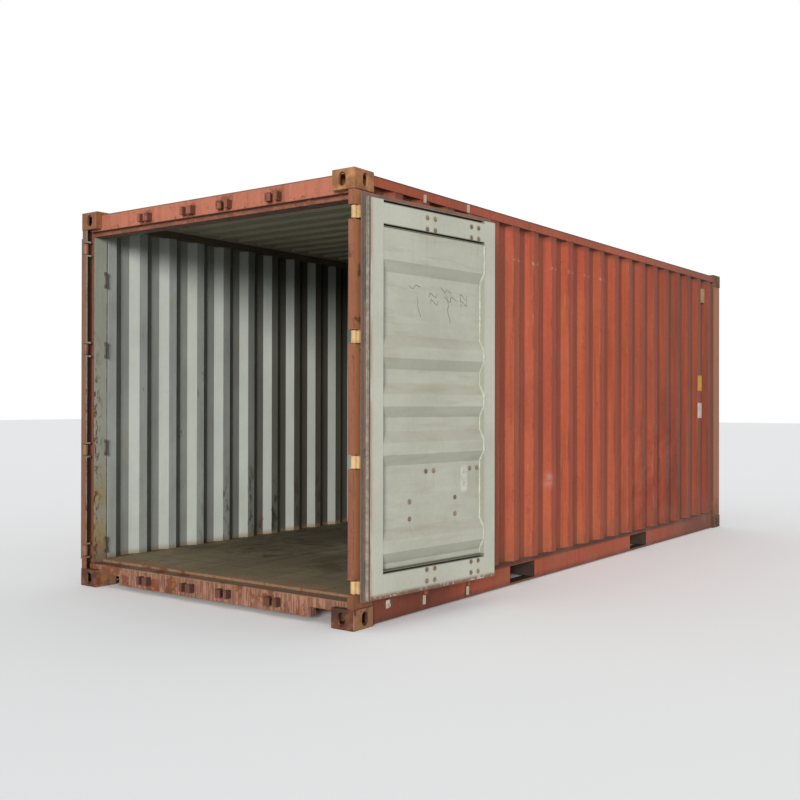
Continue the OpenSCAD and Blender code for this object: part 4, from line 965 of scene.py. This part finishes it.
def tie_hook(side):
    """Hook on the bottom rail that holds the open door's tie."""
    sign = SIDES[side]
    bm = bmesh.new()
    x, y, z = RAIL_FACE, -2.69, 0.100
    plate(bm, (sign * x - 0.003, y - 0.018, z - 0.022), (sign * x + 0.003, y + 0.018, z + 0.026))
    arc = []
    for k in range(9):
        c, d = math.cos(math.pi * k / 8), math.sin(math.pi * k / 8)
        arc.append(Vector((sign * (x + 0.004 + 0.007 * d), y + 0.014 * c, z + 0.004 - 0.018 * d)))
    bead(bm, arc, 0.0032, 0.006, 0.05, 8)
    new_piece(f"{side}_tie_hook", bm, "zinc", "frame")


for side in SIDES:
    door_bolts(side)
    door_nuts(side)
    panel_sealant(side)
    hinge_welds(side)
    wall_welds(side)
    tie_hook(side)
pencil_lines()
frame_welds()
floor_screws()
wall_plates()


# ---------------------------------------------------------------- stage, light and camera
def stage_floor():
    """Wide pale ground."""
    bm = bmesh.new()
    bmesh.ops.create_grid(bm, x_segments=1, y_segments=1, size=60)
    mesh = bpy.data.meshes.new("ground")
    bm.to_mesh(mesh)
    bm.free()
    obj = bpy.data.objects.new("ground", mesh)
    bpy.context.scene.collection.objects.link(obj)
    s = Mat("pale_ground")
    n1 = s.noise(0.6, 3)
    pale = s.mix(n1, (0.89, 0.89, 0.89), (0.91, 0.91, 0.91))
    obj.data.materials.append(s.finish(pale, 0.9, n1, 0.05, 0.001))


stage_floor()
scene = bpy.context.scene

# White world for the camera and in reflections, a dimmer one that lights the object
world = bpy.data.worlds.new("soft_sky")
scene.world = world
world.use_nodes = True
wt = world.node_tree
wt.nodes.clear()
seen = wt.nodes.new("ShaderNodeBackground")
seen.inputs[0].default_value = (1, 1, 1, 1)
light = wt.nodes.new("ShaderNodeBackground")
light.inputs[0].default_value = (0.95, 0.975, 1.0, 1)
light.inputs[1].default_value = 0.62
lp = wt.nodes.new("ShaderNodeLightPath")
mixer = wt.nodes.new("ShaderNodeMixShader")
wo = wt.nodes.new("ShaderNodeOutputWorld")
white_for = lp.outputs["Is Camera Ray"]
for ray in ("Is Glossy Ray", "Is Transmission Ray"):
    either = wt.nodes.new("ShaderNodeMath")
    either.operation = "MAXIMUM"
    wt.links.new(white_for, either.inputs[0])
    wt.links.new(lp.outputs[ray], either.inputs[1])
    white_for = either.outputs[0]
wt.links.new(white_for, mixer.inputs[0])
wt.links.new(light.outputs[0], mixer.inputs[1])
wt.links.new(seen.outputs[0], mixer.inputs[2])
wt.links.new(mixer.outputs[0], wo.inputs[0])

# Soft key from beyond the door end, low, as the light on the corrugations shows
TO_KEY = Vector((0.447, -0.877, 0.176))
key_data = bpy.data.lights.new("key", "SUN")
key_data.energy = 4.7
key_data.angle = math.radians(18)
key_data.color = (1.0, 0.985, 0.955)
key = bpy.data.objects.new("key", key_data)
scene.collection.objects.link(key)
key.location = 20 * TO_KEY
key.rotation_euler = (-TO_KEY).to_track_quat("-Z", "Y").to_euler()

# Camera fitted to the photograph's casting corners: focal length in pixels of an 800 pixel frame,
# angles in radians, place in metres
FRAME_PX, SENSOR = 800, 36
FOCAL_PX, YAW, PITCH, ROLL = 1014.067666, 0.631323, 0.00274, 0.001916
CX, CY, CZ = 4.750862, -7.426453, 1.275064
fwd = Vector((-math.sin(YAW) * math.cos(PITCH), math.cos(YAW) * math.cos(PITCH), math.sin(PITCH)))
right = Vector((math.cos(YAW), math.sin(YAW), 0))
up = right.cross(fwd)
r2 = math.cos(ROLL) * right + math.sin(ROLL) * up
u2 = -math.sin(ROLL) * right + math.cos(ROLL) * up
cam_data = bpy.data.cameras.new("camera")
cam_data.sensor_width = SENSOR
cam_data.lens = FOCAL_PX / FRAME_PX * SENSOR
cam_data.clip_end = 200
cam = bpy.data.objects.new("camera", cam_data)
scene.collection.objects.link(cam)
cam.matrix_world = Matrix(((r2.x, u2.x, -fwd.x, CX), (r2.y, u2.y, -fwd.y, CY),
                           (r2.z, u2.z, -fwd.z, CZ), (0, 0, 0, 1)))
scene.camera = cam
scene.view_settings.view_transform = "Standard"
